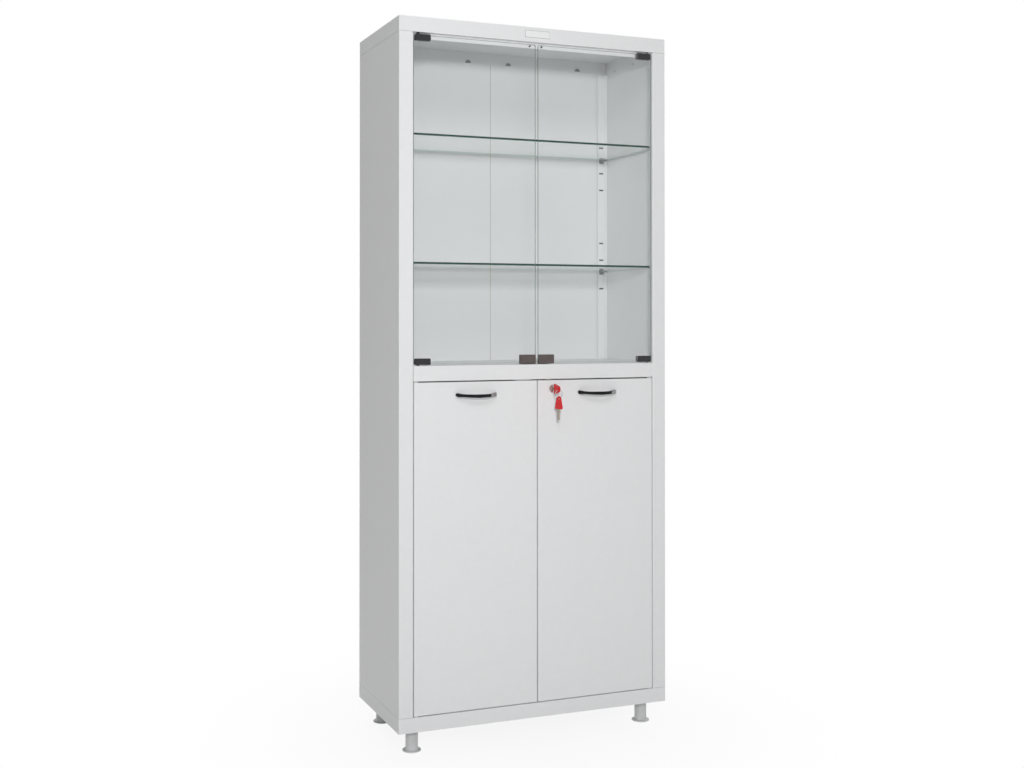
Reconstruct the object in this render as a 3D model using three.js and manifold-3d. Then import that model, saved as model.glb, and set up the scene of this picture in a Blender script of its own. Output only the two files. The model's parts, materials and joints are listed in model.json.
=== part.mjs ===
// Glass door medical cabinet: folded sheet-steel carcass, two glass leaves, two steel leaves, four legs.
// Millimetres, +Z up, the doors face -Y, and the origin is under the middle of the whole part.
import * as THREE from "three";
import Module from "manifold-3d";

const wasm = await Module();
wasm.setup();

// Carcass
const BODY_W = 700;
const BODY_D = 320;
const BODY_H = 1655;
const SHEET = 1;
const BEND_R = 2;
const TOP_RIM = 35;
const BASE_RIM = 34.5;
const RIM_RETURN = 13;
const JOINT_GAP = 0.2;
const SEAM_GAP = 0.5;
const STILE_W = 35;
const STILE_D = 16;
const STILE_LIP = 24;
const REAR_HEM = 10;
const LAP_UP = 14;
const LAP_DOWN = 12;
const LAP_SETBACK = 22;

// Rear corner strips, back sheets and the tabs that hold their top edges
const STRIP_T = 1.2;
const STRIP_FACE = 19;
const STRIP_CHAMFER = 7;
const STRIP_BACK = 4.9;
const BACK_T = 0.8;
const BACK_INSET = 2.2;
const BACK_LAP = 12;
const BACK_SEAM_X = 7;
const BACK_RISE = 6;
const TAB_R = 8;
const TAB_T = 1.2;
const TAB_DROP = 30.5;
const TAB_BRIDGE = 5;
const TAB_TUCK = 3;
const TAB_IN = 57;
const TAB_SIDE = 89;
const SLOT_W = 13;
const SLOT_H = 4;
const SLOT_IN = 16.5;

// Partition between the two pairs of doors
const RAIL_TOP = 845.5;
const RAIL_H = 36.5;
const RAIL_RETURN = 20;
const FLANGE_H = 15;

// Shelves and their hooked clips
const SHELF_FRONT = 32;
const SHELF_BACK = 12;
const SHELF_SIDE = 3;
const GLASS_SHELF_T = 5;
const UPPER_SHELF_DROP = 234.6;
const LOWER_SHELF_RISE = 237.5;
const STEEL_SHELF_RISE = 370.5;
const STEEL_SHELF_T = 25;
const UPPER_SPARES = [36.8, -33.5, -79.2];
const LOWER_SPARES = [78.2, 32.5, -45.3];
const STEEL_SPARES = [91.2, 45.7, -45.3, -90.8];
const CLIP_W = 12;
const CLIP_T = 2;
const CLIP_PLATE_T = 1.5;
const CLIP_UP = 7;
const CLIP_DOWN = 6;
const CLIP_REACH = 24;
const CLIP_LUG = 5;
const CLIP_FIT = 0.2;

// Legs
const LEG_H = 55;
const LEG_R = 14.8;
const LEG_TOP_R = 26;
const LEG_TOP_T = 3;
const FOOT_R = 22;
const FOOT_T = 3.4;
const LEG_INSET_X = 46.5;
const LEG_INSET_Y = 44.5;

// Glass leaves
const PANE_T = 4;
const PANE_SETBACK = 4;
const PANE_LIFT = 3.8;
const PANE_DROP = 6;
const PANE_SIDE_GAP = 2;
const PANE_SPLIT = 7;
const PANE_CORNER = 3;
const STOP_Y = 14.4;
const STOP_SHORT = 27;
const STOP_DROP = 13;
const STOP_LEG = 9;
const PANE_PIVOT_IN = 11.5;
const PANE_PIN_R = 2.4;
const PIN_FIT = 0.08;
const PANE_PIN_L = 8;
const CLAMP_W = 38;
const CLAMP_OUT = 5;
const CLAMP_H = 15;
const CLAMP_COVER = 3;
const CLAMP_WEB = 2;
const CLAMP_R = 2.5;
const GRIP_FIT = 0.1;
const STRIKE_W = 40.5;
const STRIKE_H = 21.5;
const STRIKE_T = 2.3;
const CATCH_W = 68;
const CATCH_H = 14;
const CATCH_D = 15;

// Steel leaves
const DOOR_T = 20;
const DOOR_SETBACK = 0.3;
const DOOR_SIDE_GAP = 2;
const DOOR_SPLIT = 2.6;
const DOOR_TOP_GAP = 2.6;
const DOOR_LOW_GAP = 2.3;
const DOOR_RETURN = 16;
const STIFFENER_W = 46;
const STIFFENER_END = 40;
const DOOR_PIVOT_IN = 6;
const DOOR_PIVOT_BACK = 6;
const DOOR_PIN_R = 3;
const DOOR_PIN_L = 10;
const WASHER_R = 6;
const HANDLE_IN = 156;
const HANDLE_DROP = 30.4;
const HANDLE_HALF = 52;
const HANDLE_FOOT = 12;
const HANDLE_REACH = 25;
const HANDLE_T = 5;
const HANDLE_MID_H = 8;
const HANDLE_NECK_H = 6.8;
const HANDLE_FOOT_H = 8.6;
const HANDLE_SAG = 2.4;

// Lock, keeper and catch under the rail
const LOCK_X = 40;
const LOCK_DROP = 20.4;
const LOCK_RING_R = 10.8;
const LOCK_RING_T = 3;
const LOCK_BARREL_R = 8.8;
const LOCK_PLUG_R = 6.4;
const LOCK_FIT = 0.08;
const LOCK_NUT_R = 13;
const LOCK_NUT_T = 4;
const CAM_L = 33;
const CAM_W = 15;
const CAM_T = 2;
const KEEPER_W = 15;
const KEEPER_X = 29;
const KEEPER_T = 1.4;
const KEEPER_DROP = 11;
const STOP_FIT = 0.3;
const CAM_CLEAR = 0.4;
const STEEL_CATCH_W = 41;
const STEEL_CATCH_X = -37.5;
const STEEL_CATCH_T = 1.6;
const HANG_SETBACK = 0.8;
const STEEL_CATCH_D = 13;
const STEEL_CATCH_H = 18;

// Keys and their ring
const BLADE_T = 2;
const BLADE_W = 7;
const BLADE_IN = 15;
const KEY_REACH = 40;
const KEY_HEAD_L = 31;
const KEY_HEAD_W = 24;
const KEY_HEAD_END_W = 15;
const KEY_HEAD_CORNER = 4;
const KEY_HEAD_T = 3.6;
const KEY_TANG = 14;
const KEY_HOLE_R = 3;
const KEY_HOLE_IN = 6;
const SPARE_BLADE_L = 27;
const SPARE_TWIST = 17;
const RING_R = 9.5;
const RING_WIRE = 0.7;
const RING_FIT = 0.6;

// Values that follow from the sizes above
const HALF_W = BODY_W / 2;
const SPARE_TURN = THREE.MathUtils.degToRad(SPARE_TWIST);
const SPARE_SPAN = KEY_HEAD_W * Math.cos(SPARE_TURN) + KEY_HEAD_T * Math.abs(Math.sin(SPARE_TURN));
const SPARE_REACH = KEY_REACH - KEY_HOLE_IN + SPARE_SPAN / 2;
const FRONT_Y = (Math.max(KEY_REACH, SPARE_REACH, HANDLE_REACH) - BODY_D) / 2;
const TOP_Z = BODY_H - TOP_RIM;
const RAIL_LOW = RAIL_TOP - RAIL_H;
const OPEN_HALF = HALF_W - STILE_W;
const SLOT_X = HALF_W - SLOT_IN;
const TAB_OUT = HALF_W - TAB_SIDE;
const UPPER_SHELF_Z = TOP_Z - UPPER_SHELF_DROP;
const LOWER_SHELF_Z = RAIL_TOP + LOWER_SHELF_RISE;
const STEEL_SHELF_Z = BASE_RIM + STEEL_SHELF_RISE;
const PANE_BOTTOM = RAIL_TOP + PANE_LIFT;
const PANE_TOP = TOP_Z - PANE_DROP;
const STOP_HALF = OPEN_HALF - STOP_SHORT;
const STOP_LOW = TOP_Z - STOP_DROP;
const HANDLE_X = OPEN_HALF - HANDLE_IN;
const STRIP_FRONT = BODY_D - STRIP_BACK - STRIP_T;
const STRIP_EDGE = HALF_W - SHEET - STRIP_FACE - STRIP_CHAMFER - JOINT_GAP;
const PANE_PIVOT_X = OPEN_HALF - PANE_SIDE_GAP - PANE_PIVOT_IN;
const PANE_PIVOT_Y = PANE_SETBACK + PANE_T / 2;
const DOOR_PIVOT_X = OPEN_HALF - DOOR_SIDE_GAP - DOOR_PIVOT_IN;
const DOOR_LOW = BASE_RIM + DOOR_LOW_GAP;
const DOOR_TOP = RAIL_LOW - DOOR_TOP_GAP;
const DOOR_BACK = DOOR_SETBACK + DOOR_T;
const HANDLE_Z = DOOR_TOP - HANDLE_DROP;
const LOCK_Z = DOOR_TOP - LOCK_DROP;
const SLOT_ROWS = [
  [UPPER_SHELF_Z, UPPER_SPARES],
  [LOWER_SHELF_Z, LOWER_SPARES],
  [STEEL_SHELF_Z, STEEL_SPARES],
];
const ALL_SLOTS = SLOT_ROWS.flatMap(([z, spares]) => {
  const clipSlot = z - CLIP_FIT - CLIP_T / 2;
  return [clipSlot, ...spares.map((step) => clipSlot + step)];
});

// Colours and finishes
const coat = { color: 0xe6e9ed, roughness: 0.32, metalness: 0.0 };
const glass = { color: 0xcfe6dd, roughness: 0.04, metalness: 0.0, transparent: true, opacity: 0.35 };
const blackMetal = { color: 0x1b1c1e, roughness: 0.35, metalness: 0.4 };
const bronze = { color: 0x4d4340, roughness: 0.4, metalness: 0.6 };
const chrome = { color: 0xc9ccd0, roughness: 0.12, metalness: 1.0 };
const zinc = { color: 0xa59a86, roughness: 0.4, metalness: 0.9 };
const palePlastic = { color: 0xd9dad8, roughness: 0.5, metalness: 0.0 };
const redPlastic = { color: 0xcf1f28, roughness: 0.35, metalness: 0.0 };

// Axes of a drawn profile: it is drawn in two directions and pushed along the third
const ALONG_X = new THREE.Matrix4().makeBasis(
  new THREE.Vector3(0, 1, 0),
  new THREE.Vector3(0, 0, 1),
  new THREE.Vector3(1, 0, 0),
);
const ALONG_Y = new THREE.Matrix4().makeBasis(
  new THREE.Vector3(1, 0, 0),
  new THREE.Vector3(0, 0, 1),
  new THREE.Vector3(0, -1, 0),
);

function toSolid(geometry) {
  const g = geometry.index ? geometry.toNonIndexed() : geometry;
  const pos = g.getAttribute("position");
  const found = new Map();
  const verts = [];
  const tris = new Uint32Array(pos.count);
  for (let i = 0; i < pos.count; i += 1) {
    const p = [pos.getX(i), pos.getY(i), pos.getZ(i)];
    const key = p.map((v) => Math.round(v * 1e4)).join(",");
    if (!found.has(key)) {
      found.set(key, verts.length / 3);
      verts.push(...p);
    }
    tris[i] = found.get(key);
  }
  const kept = [];
  for (let i = 0; i < tris.length; i += 3) {
    const [a, b, c] = [tris[i], tris[i + 1], tris[i + 2]];
    if (a !== b && b !== c && c !== a) kept.push(a, b, c);
  }
  const mesh = new wasm.Mesh({
    numProp: 3,
    vertProperties: new Float32Array(verts),
    triVerts: new Uint32Array(kept),
  });
  return new wasm.Manifold(mesh);
}

function toGeometry(solid) {
  const mesh = solid.getMesh();
  const g = new THREE.BufferGeometry();
  g.setAttribute("position", new THREE.BufferAttribute(new Float32Array(mesh.vertProperties), 3));
  g.setIndex(new THREE.BufferAttribute(new Uint32Array(mesh.triVerts), 1));
  const flat = g.toNonIndexed();
  flat.computeVertexNormals();
  return flat;
}

function push(shape, from, to, axis, segments = 4) {
  const settings = { depth: to - from, bevelEnabled: false, curveSegments: segments };
  const g = new THREE.ExtrudeGeometry(shape, settings);
  if (axis === "x") {
    g.applyMatrix4(ALONG_X);
    g.translate(from, 0, 0);
  } else if (axis === "y") {
    g.applyMatrix4(ALONG_Y);
    g.translate(0, to, 0);
  } else {
    g.translate(0, 0, from);
  }
  return toSolid(g);
}

function block(x0, x1, y0, y1, z0, z1) {
  const g = new THREE.BoxGeometry(x1 - x0, y1 - y0, z1 - z0);
  g.translate((x0 + x1) / 2, (y0 + y1) / 2, (z0 + z1) / 2);
  return toSolid(g);
}

function polygon(points) {
  return new THREE.Shape(points.map(([u, v]) => new THREE.Vector2(u, v)));
}

// A rectangle with its four corners rounded
function rounded(u0, u1, v0, v1, r) {
  const s = new THREE.Shape();
  s.moveTo(u0 + r, v0);
  s.lineTo(u1 - r, v0);
  s.absarc(u1 - r, v0 + r, r, -Math.PI / 2, 0);
  s.lineTo(u1, v1 - r);
  s.absarc(u1 - r, v1 - r, r, 0, Math.PI / 2);
  s.lineTo(u0 + r, v1);
  s.absarc(u0 + r, v1 - r, r, Math.PI / 2, Math.PI);
  s.lineTo(u0, v0 + r);
  s.absarc(u0 + r, v0 + r, r, Math.PI, Math.PI * 1.5);
  return s;
}

// Sheet folded along a path: the path is the outer face, the sheet lies on its left, bends are rounded
function folded(path, thickness, radius) {
  const rail = [];
  path.forEach((p, i) => {
    if (i === 0 || i === path.length - 1) {
      rail.push(p);
      return;
    }
    const a = new THREE.Vector2(...path[i - 1]);
    const b = new THREE.Vector2(...p);
    const c = new THREE.Vector2(...path[i + 1]);
    const inDir = b.clone().sub(a).normalize();
    const outDir = c.clone().sub(b).normalize();
    const turn = Math.atan2(inDir.cross(outDir), inDir.dot(outDir));
    const cut = radius * Math.tan(Math.abs(turn) / 2);
    const start = b.clone().addScaledVector(inDir, -cut);
    const side = Math.sign(turn);
    const centre = start.clone().add(new THREE.Vector2(-inDir.y, inDir.x).multiplyScalar(side * radius));
    const steps = 3;
    for (let k = 0; k <= steps; k += 1) {
      const spoke = start.clone().sub(centre).rotateAround(new THREE.Vector2(), (turn * k) / steps);
      rail.push([centre.x + spoke.x, centre.y + spoke.y]);
    }
  });
  const inner = rail.map((p, i) => {
    const before = rail[Math.max(i - 1, 0)];
    const after = rail[Math.min(i + 1, rail.length - 1)];
    const d1 = new THREE.Vector2(p[0] - before[0], p[1] - before[1]);
    const d2 = new THREE.Vector2(after[0] - p[0], after[1] - p[1]);
    if (d1.length() === 0) d1.copy(d2);
    if (d2.length() === 0) d2.copy(d1);
    d1.normalize();
    d2.normalize();
    const n1 = new THREE.Vector2(-d1.y, d1.x);
    const n2 = new THREE.Vector2(-d2.y, d2.x);
    const mid = n1.clone().add(n2).normalize();
    const reach = thickness / mid.dot(n1);
    return [p[0] + mid.x * reach, p[1] + mid.y * reach];
  });
  return polygon([...rail, ...inner.reverse()]);
}

// Round solid about Z from radius and height pairs
function turned(profile, sides = 32) {
  const g = new THREE.LatheGeometry(profile.map(([r, z]) => new THREE.Vector2(r, z)), sides);
  g.rotateX(Math.PI / 2);
  return toSolid(g);
}

function upright(r, z0, z1, x, y, sides = 32) {
  return turned([[0, z0], [r, z0], [r, z1], [0, z1]], sides).translate([x, y, 0]);
}

// Round solid about Y, as heights along the depth
function lying(profile, sides = 32) {
  const g = new THREE.LatheGeometry(profile.map(([r, y]) => new THREE.Vector2(r, y)), sides);
  return toSolid(g);
}

const carcass = new THREE.Group();
carcass.position.set(0, FRONT_Y, LEG_H);

function add(name, solid, finish, parent = carcass) {
  const mesh = new THREE.Mesh(toGeometry(solid), new THREE.MeshStandardMaterial(finish));
  mesh.name = name;
  parent.add(mesh);
  return mesh;
}

function mirrored(solid) {
  return solid.mirror([1, 0, 0]);
}

// Top tray: plate, four rims, front return with the upper hinge holes, and the tabs at the rear
function tray(z0, z1) {
  const outer = push(rounded(-HALF_W, HALF_W, 0, BODY_D, BEND_R), z0, z1);
  const cavity = push(
    rounded(-HALF_W + SHEET, HALF_W - SHEET, SHEET, BODY_D - SHEET, BEND_R - SHEET),
    z0 - SHEET,
    z1 - SHEET,
  );
  return outer.subtract(cavity);
}

function frontReturn(z) {
  return block(-HALF_W + SHEET / 2, HALF_W - SHEET / 2, SHEET / 2, RIM_RETURN, z, z + SHEET);
}

const tabFace = BODY_D - BACK_INSET - 2 * BACK_T - TAB_T;
function lancedTab(x) {
  const z = BODY_H - TAB_DROP;
  const half = new THREE.Shape();
  half.absarc(0, 0, TAB_R, 0, Math.PI);
  half.closePath();
  const leaf = push(half, tabFace - TAB_T, tabFace, "y", 8).translate([x, 0, z]);
  const bridge = push(
    polygon([
      [tabFace - TAB_T, z + TAB_TUCK],
      [tabFace, z + TAB_TUCK],
      [BODY_D - SHEET / 2, z + TAB_R],
      [BODY_D - SHEET / 2, z + TAB_R + TAB_T],
      [tabFace - TAB_T, z + TAB_R - TAB_T],
    ]),
    x - TAB_BRIDGE,
    x + TAB_BRIDGE,
    "x",
  );
  return leaf.add(bridge);
}

let topPanel = tray(TOP_Z, BODY_H);
topPanel = topPanel.add(frontReturn(TOP_Z));
for (const side of [-1, 1]) {
  const hole = upright(PANE_PIN_R + PIN_FIT, TOP_Z - 1, TOP_Z + 3, side * PANE_PIVOT_X, PANE_PIVOT_Y, 16);
  topPanel = topPanel.subtract(hole);
}
for (const x of [-TAB_OUT, -TAB_IN, TAB_IN, TAB_OUT]) topPanel = topPanel.add(lancedTab(x));
add("top_panel", topPanel, coat);

// Floor tray with the lower hinge holes of the steel leaves
let bottomPanel = tray(0, BASE_RIM);
bottomPanel = bottomPanel.add(frontReturn(0));
for (const side of [-1, 1]) {
  const hole = upright(DOOR_PIN_R, BASE_RIM - 3, BASE_RIM + 1, side * DOOR_PIVOT_X, DOOR_PIVOT_BACK, 16);
  bottomPanel = bottomPanel.subtract(hole);
}
add("bottom_panel", bottomPanel, coat);

// Side panels: one sheet folded from the rear hem round the wall and the front stile to the slotted lip
function slotRow(y) {
  return ALL_SLOTS.map((z) =>
    block(-SLOT_X - SLOT_W / 2, -SLOT_X + SLOT_W / 2, y - 3, y + 3, z - SLOT_H / 2, z + SLOT_H / 2),
  );
}

const sidePath = [
  [-HALF_W + REAR_HEM, BODY_D],
  [-HALF_W, BODY_D],
  [-HALF_W, 0],
  [-OPEN_HALF, 0],
  [-OPEN_HALF, STILE_D],
  [-OPEN_HALF - STILE_LIP, STILE_D],
];
const sideLow = BASE_RIM + SEAM_GAP;
const sideHigh = TOP_Z - SEAM_GAP;
let sidePanel = push(folded(sidePath, SHEET, BEND_R), sideLow, sideHigh);
const wallFace = -HALF_W + SHEET;
const lap = polygon([
  [wallFace - SHEET / 2, sideHigh - LAP_DOWN],
  [wallFace + JOINT_GAP + SHEET, sideHigh - LAP_DOWN],
  [wallFace + JOINT_GAP + SHEET, TOP_Z + LAP_UP],
  [wallFace + JOINT_GAP, TOP_Z + LAP_UP],
  [wallFace + JOINT_GAP, sideHigh],
  [wallFace - SHEET / 2, sideHigh],
]);
sidePanel = sidePanel.add(push(lap, -(BODY_D - LAP_SETBACK), -LAP_SETBACK, "y").mirror([0, 1, 0]));
for (const slot of slotRow(STILE_D - SHEET / 2)) sidePanel = sidePanel.subtract(slot);
add("side_panel_left", sidePanel, coat);
add("side_panel_right", mirrored(sidePanel), coat);

// Slotted strips in the rear corners, folded across the corner to the wall
const stripPath = [
  [-STRIP_EDGE, STRIP_FRONT + STRIP_T],
  [-STRIP_EDGE - STRIP_FACE, STRIP_FRONT + STRIP_T],
  [-STRIP_EDGE - STRIP_FACE - STRIP_CHAMFER, STRIP_FRONT + STRIP_T - STRIP_CHAMFER],
];
let strip = push(folded(stripPath, STRIP_T, BEND_R), BASE_RIM + JOINT_GAP, TOP_Z - JOINT_GAP);
for (const slot of slotRow(STRIP_FRONT + STRIP_T / 2)) strip = strip.subtract(slot);
add("rear_upright_left", strip, coat);
add("rear_upright_right", mirrored(strip), coat);

// Back sheets: the left one laps over the right one inside
const backEdge = HALF_W - SHEET - 1;
const backZ0 = BASE_RIM + JOINT_GAP;
const backZ1 = TOP_Z + BACK_RISE;
const backFar = BODY_D - BACK_INSET + BACK_T;
const backNear = backFar - BACK_T - 0.1;
add("back_panel_left", block(-backEdge, BACK_SEAM_X, backNear - BACK_T, backNear, backZ0, backZ1), coat);
const rightSheet = block(BACK_SEAM_X - BACK_LAP, backEdge, backFar - BACK_T, backFar, backZ0, backZ1);
add("back_panel_right", rightSheet, coat);

// Partition: front rail folded from one sheet with the plate, notched round the stiles and corner strips
const railPath = [
  [RAIL_RETURN, RAIL_LOW],
  [0, RAIL_LOW],
  [0, RAIL_TOP],
  [STILE_D + FLANGE_H, RAIL_TOP],
];
const railHalf = OPEN_HALF - JOINT_GAP;
let middlePanel = push(folded(railPath.slice().reverse(), SHEET, BEND_R), -railHalf, railHalf, "x");
const plateHalf = HALF_W - SHEET - JOINT_GAP;
const plateBack = backNear - BACK_T - JOINT_GAP;
const plateNotch = STRIP_EDGE - JOINT_GAP;
const plateNotchY = STRIP_FRONT - STRIP_CHAMFER - JOINT_GAP;
const plate = polygon([
  [-railHalf, STILE_D - 6],
  [railHalf, STILE_D - 6],
  [railHalf, STILE_D + JOINT_GAP],
  [plateHalf, STILE_D + JOINT_GAP],
  [plateHalf, plateNotchY],
  [plateNotch, plateNotchY],
  [plateNotch, plateBack],
  [-plateNotch, plateBack],
  [-plateNotch, plateNotchY],
  [-plateHalf, plateNotchY],
  [-plateHalf, STILE_D + JOINT_GAP],
  [-railHalf, STILE_D + JOINT_GAP],
]);
middlePanel = middlePanel.add(push(plate, RAIL_TOP - SHEET, RAIL_TOP));
middlePanel = middlePanel.add(
  block(-plateNotch, plateNotch, plateBack - SHEET, plateBack, RAIL_TOP - FLANGE_H, RAIL_TOP - SHEET / 2),
);
for (const side of [-1, 1]) {
  const edge = [side * plateHalf, side * (plateHalf - SHEET)].sort((a, b) => a - b);
  const flangeY0 = STILE_D + 8;
  const flangeY1 = plateNotchY - 2;
  const flange = block(...edge, flangeY0, flangeY1, RAIL_TOP - FLANGE_H, RAIL_TOP - SHEET / 2);
  middlePanel = middlePanel.add(flange);
  const panePinX = side * PANE_PIVOT_X;
  const upper = upright(PANE_PIN_R + PIN_FIT, RAIL_TOP - 4, RAIL_TOP + 1, panePinX, PANE_PIVOT_Y, 16);
  const lower = upright(DOOR_PIN_R, RAIL_LOW - 1, RAIL_LOW + 4, side * DOOR_PIVOT_X, DOOR_PIVOT_BACK, 16);
  middlePanel = middlePanel.subtract(upper).subtract(lower);
}
add("middle_panel", middlePanel, coat);

// Stop strip for the glass leaves, hung on the return of the top rim
const stopPath = [
  [STOP_Y + SHEET - STOP_LEG, TOP_Z + SHEET + JOINT_GAP + SHEET],
  [STOP_Y + SHEET, TOP_Z + SHEET + JOINT_GAP + SHEET],
  [STOP_Y + SHEET, STOP_LOW],
];
const stopFold = folded(stopPath.slice().reverse(), SHEET, BEND_R);
add("top_door_stop", push(stopFold, -STOP_HALF, STOP_HALF, "x"), coat);

// Shelves
const shelfHalf = HALF_W - SHELF_SIDE;
const shelfRear = BODY_D - SHELF_BACK;
function glassShelf(z) {
  return push(rounded(-shelfHalf, shelfHalf, SHELF_FRONT, shelfRear, PANE_CORNER), z, z + GLASS_SHELF_T);
}
add("upper_glass_shelf", glassShelf(UPPER_SHELF_Z), glass);
add("lower_glass_shelf", glassShelf(LOWER_SHELF_Z), glass);

const trayTop = STEEL_SHELF_Z + STEEL_SHELF_T;
let steelShelf = block(-shelfHalf, shelfHalf, SHELF_FRONT, shelfRear, STEEL_SHELF_Z, trayTop);
steelShelf = steelShelf.subtract(
  block(
    -shelfHalf + SHEET,
    shelfHalf - SHEET,
    SHELF_FRONT + SHEET,
    shelfRear - SHEET,
    STEEL_SHELF_Z - 1,
    trayTop - SHEET,
  ),
);
for (const [y0, y1] of [[SHELF_FRONT, SHELF_FRONT + RIM_RETURN], [shelfRear - RIM_RETURN, shelfRear]]) {
  steelShelf = steelShelf.add(block(-shelfHalf, shelfHalf, y0, y1, STEEL_SHELF_Z, STEEL_SHELF_Z + SHEET));
}
add("steel_shelf", steelShelf, coat);

// Hooked clip: plate on the strip, neck through the slot, lug behind it and a tongue under the shelf
function clip(sheetT) {
  const top = -CLIP_FIT;
  const low = top - CLIP_T;
  const back = CLIP_FIT + sheetT + CLIP_FIT;
  return polygon([
    [-CLIP_REACH, low],
    [-CLIP_PLATE_T, low],
    [-CLIP_PLATE_T, low - CLIP_DOWN],
    [0, low - CLIP_DOWN],
    [0, low],
    [back + CLIP_PLATE_T, low],
    [back + CLIP_PLATE_T, top + CLIP_LUG],
    [back, top + CLIP_LUG],
    [back, top],
    [0, top],
    [0, top + CLIP_UP],
    [-CLIP_PLATE_T, top + CLIP_UP],
    [-CLIP_PLATE_T, top],
    [-CLIP_REACH, top],
  ]);
}

const rearClip = push(clip(STRIP_T), -CLIP_W / 2, CLIP_W / 2, "x");
const frontClip = push(clip(SHEET), -CLIP_W / 2, CLIP_W / 2, "x").mirror([0, 1, 0]);
const shelfLevels = [["upper", UPPER_SHELF_Z], ["lower", LOWER_SHELF_Z], ["steel", STEEL_SHELF_Z]];
for (const [level, z] of shelfLevels) {
  for (const [side, x] of [["left", -SLOT_X], ["right", SLOT_X]]) {
    add(`${level}_shelf_clip_rear_${side}`, rearClip.translate([x, STRIP_FRONT - CLIP_FIT, z]), zinc);
    add(`${level}_shelf_clip_front_${side}`, frontClip.translate([x, STILE_D + CLIP_FIT, z]), zinc);
  }
}

// Legs: a wide foot, a round column and a mounting flange under the floor
const legTop = BASE_RIM - SHEET - 0.1;
const legProfile = [
  [0, -LEG_H],
  [FOOT_R - 1, -LEG_H],
  [FOOT_R, -LEG_H + 1],
  [FOOT_R, -LEG_H + FOOT_T - 0.8],
  [FOOT_R - 0.8, -LEG_H + FOOT_T],
  [LEG_R + 0.8, -LEG_H + FOOT_T],
  [LEG_R, -LEG_H + FOOT_T + 0.8],
  [LEG_R, legTop - LEG_TOP_T],
  [LEG_TOP_R, legTop - LEG_TOP_T],
  [LEG_TOP_R, legTop],
  [0, legTop],
];
const legSpots = [
  ["leg_front_left", -1, LEG_INSET_Y],
  ["leg_front_right", 1, LEG_INSET_Y],
  ["leg_rear_left", -1, BODY_D - LEG_INSET_Y],
  ["leg_rear_right", 1, BODY_D - LEG_INSET_Y],
];
for (const [name, side, y] of legSpots) {
  add(name, turned(legProfile, 28).translate([side * (HALF_W - LEG_INSET_X), y, 0]), palePlastic);
}

// Glass leaves: pane, two hinge clamps with pins, and a strike clip at the lower inner corner
const paneOuter = OPEN_HALF - PANE_SIDE_GAP;
const paneInner = PANE_SPLIT / 2;
const paneBack = PANE_SETBACK + PANE_T;
const paneOutline = rounded(paneInner, paneOuter, PANE_BOTTOM, PANE_TOP, PANE_CORNER);
const pane = push(paneOutline, PANE_SETBACK, paneBack, "y");

const clampOuter = OPEN_HALF - CLAMP_OUT;
const clampInner = clampOuter - CLAMP_W;
const clampFront = PANE_SETBACK - CLAMP_COVER;
const clampBack = paneBack + CLAMP_COVER;
function hingeClamp(edge, up) {
  const far = edge + up * CLAMP_WEB;
  const near = far - up * CLAMP_H;
  const z0 = Math.min(far, near);
  const z1 = Math.max(far, near);
  const jaws = push(rounded(clampInner, clampOuter, z0, z1, CLAMP_R), clampFront, clampBack, "y");
  const slotZ = [edge + up * GRIP_FIT, near - up].sort((a, b) => a - b);
  const throat = block(
    clampInner - 1,
    clampOuter + 1,
    PANE_SETBACK - GRIP_FIT,
    paneBack + GRIP_FIT,
    slotZ[0],
    slotZ[1],
  );
  const seat = up > 0 ? TOP_Z : RAIL_TOP;
  const shoulder = [far - up * 0.5, seat - up * JOINT_GAP].sort((a, b) => a - b);
  const pin = [far - up * 0.5, seat + up * PANE_PIN_L].sort((a, b) => a - b);
  return jaws
    .subtract(throat)
    .add(upright(PANE_PIN_R * 1.6, ...shoulder, PANE_PIVOT_X, PANE_PIVOT_Y, 16))
    .add(upright(PANE_PIN_R, ...pin, PANE_PIVOT_X, PANE_PIVOT_Y, 16));
}

const strikeLow = PANE_BOTTOM - GRIP_FIT - STRIKE_T;
const strikeProfile = polygon([
  [PANE_SETBACK - GRIP_FIT - STRIKE_T, strikeLow],
  [paneBack + GRIP_FIT + STRIKE_T, strikeLow],
  [paneBack + GRIP_FIT + STRIKE_T, strikeLow + STRIKE_H],
  [paneBack + GRIP_FIT, strikeLow + STRIKE_H],
  [paneBack + GRIP_FIT, PANE_BOTTOM - GRIP_FIT],
  [PANE_SETBACK - GRIP_FIT, PANE_BOTTOM - GRIP_FIT],
  [PANE_SETBACK - GRIP_FIT, strikeLow + STRIKE_H],
  [PANE_SETBACK - GRIP_FIT - STRIKE_T + 1, strikeLow + STRIKE_H],
  [PANE_SETBACK - GRIP_FIT - STRIKE_T, strikeLow + STRIKE_H - 1],
]);
const strike = push(strikeProfile, paneInner + 0.5, paneInner + 0.5 + STRIKE_W, "x");

for (const [side, turn] of [["left", mirrored], ["right", (s) => s]]) {
  add(`glass_pane_${side}`, turn(pane), glass);
  add(`glass_hinge_top_${side}`, turn(hingeClamp(PANE_TOP, 1)), blackMetal);
  add(`glass_hinge_bottom_${side}`, turn(hingeClamp(PANE_BOTTOM, -1)), blackMetal);
  add(`strike_clip_${side}`, turn(strike), bronze);
}

// Double magnetic catch on the partition, behind the two strike clips
const catchFront = paneBack + GRIP_FIT + STRIKE_T + 0.5;
const catchLow = RAIL_TOP + 0.1;
let glassCatch = push(
  rounded(catchFront, catchFront + CATCH_D, catchLow, catchLow + CATCH_H, 1.5),
  -CATCH_W / 2,
  CATCH_W / 2,
  "x",
);
for (const x of [-CATCH_W / 4, CATCH_W / 4]) {
  const poleZ = catchLow + CATCH_H / 2;
  const poleSlot = block(x - 9, x + 9, catchFront - 1, catchFront + 1, poleZ - 1, poleZ + 1);
  glassCatch = glassCatch.subtract(poleSlot);
}
add("glass_door_catch", glassCatch, palePlastic);

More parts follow.
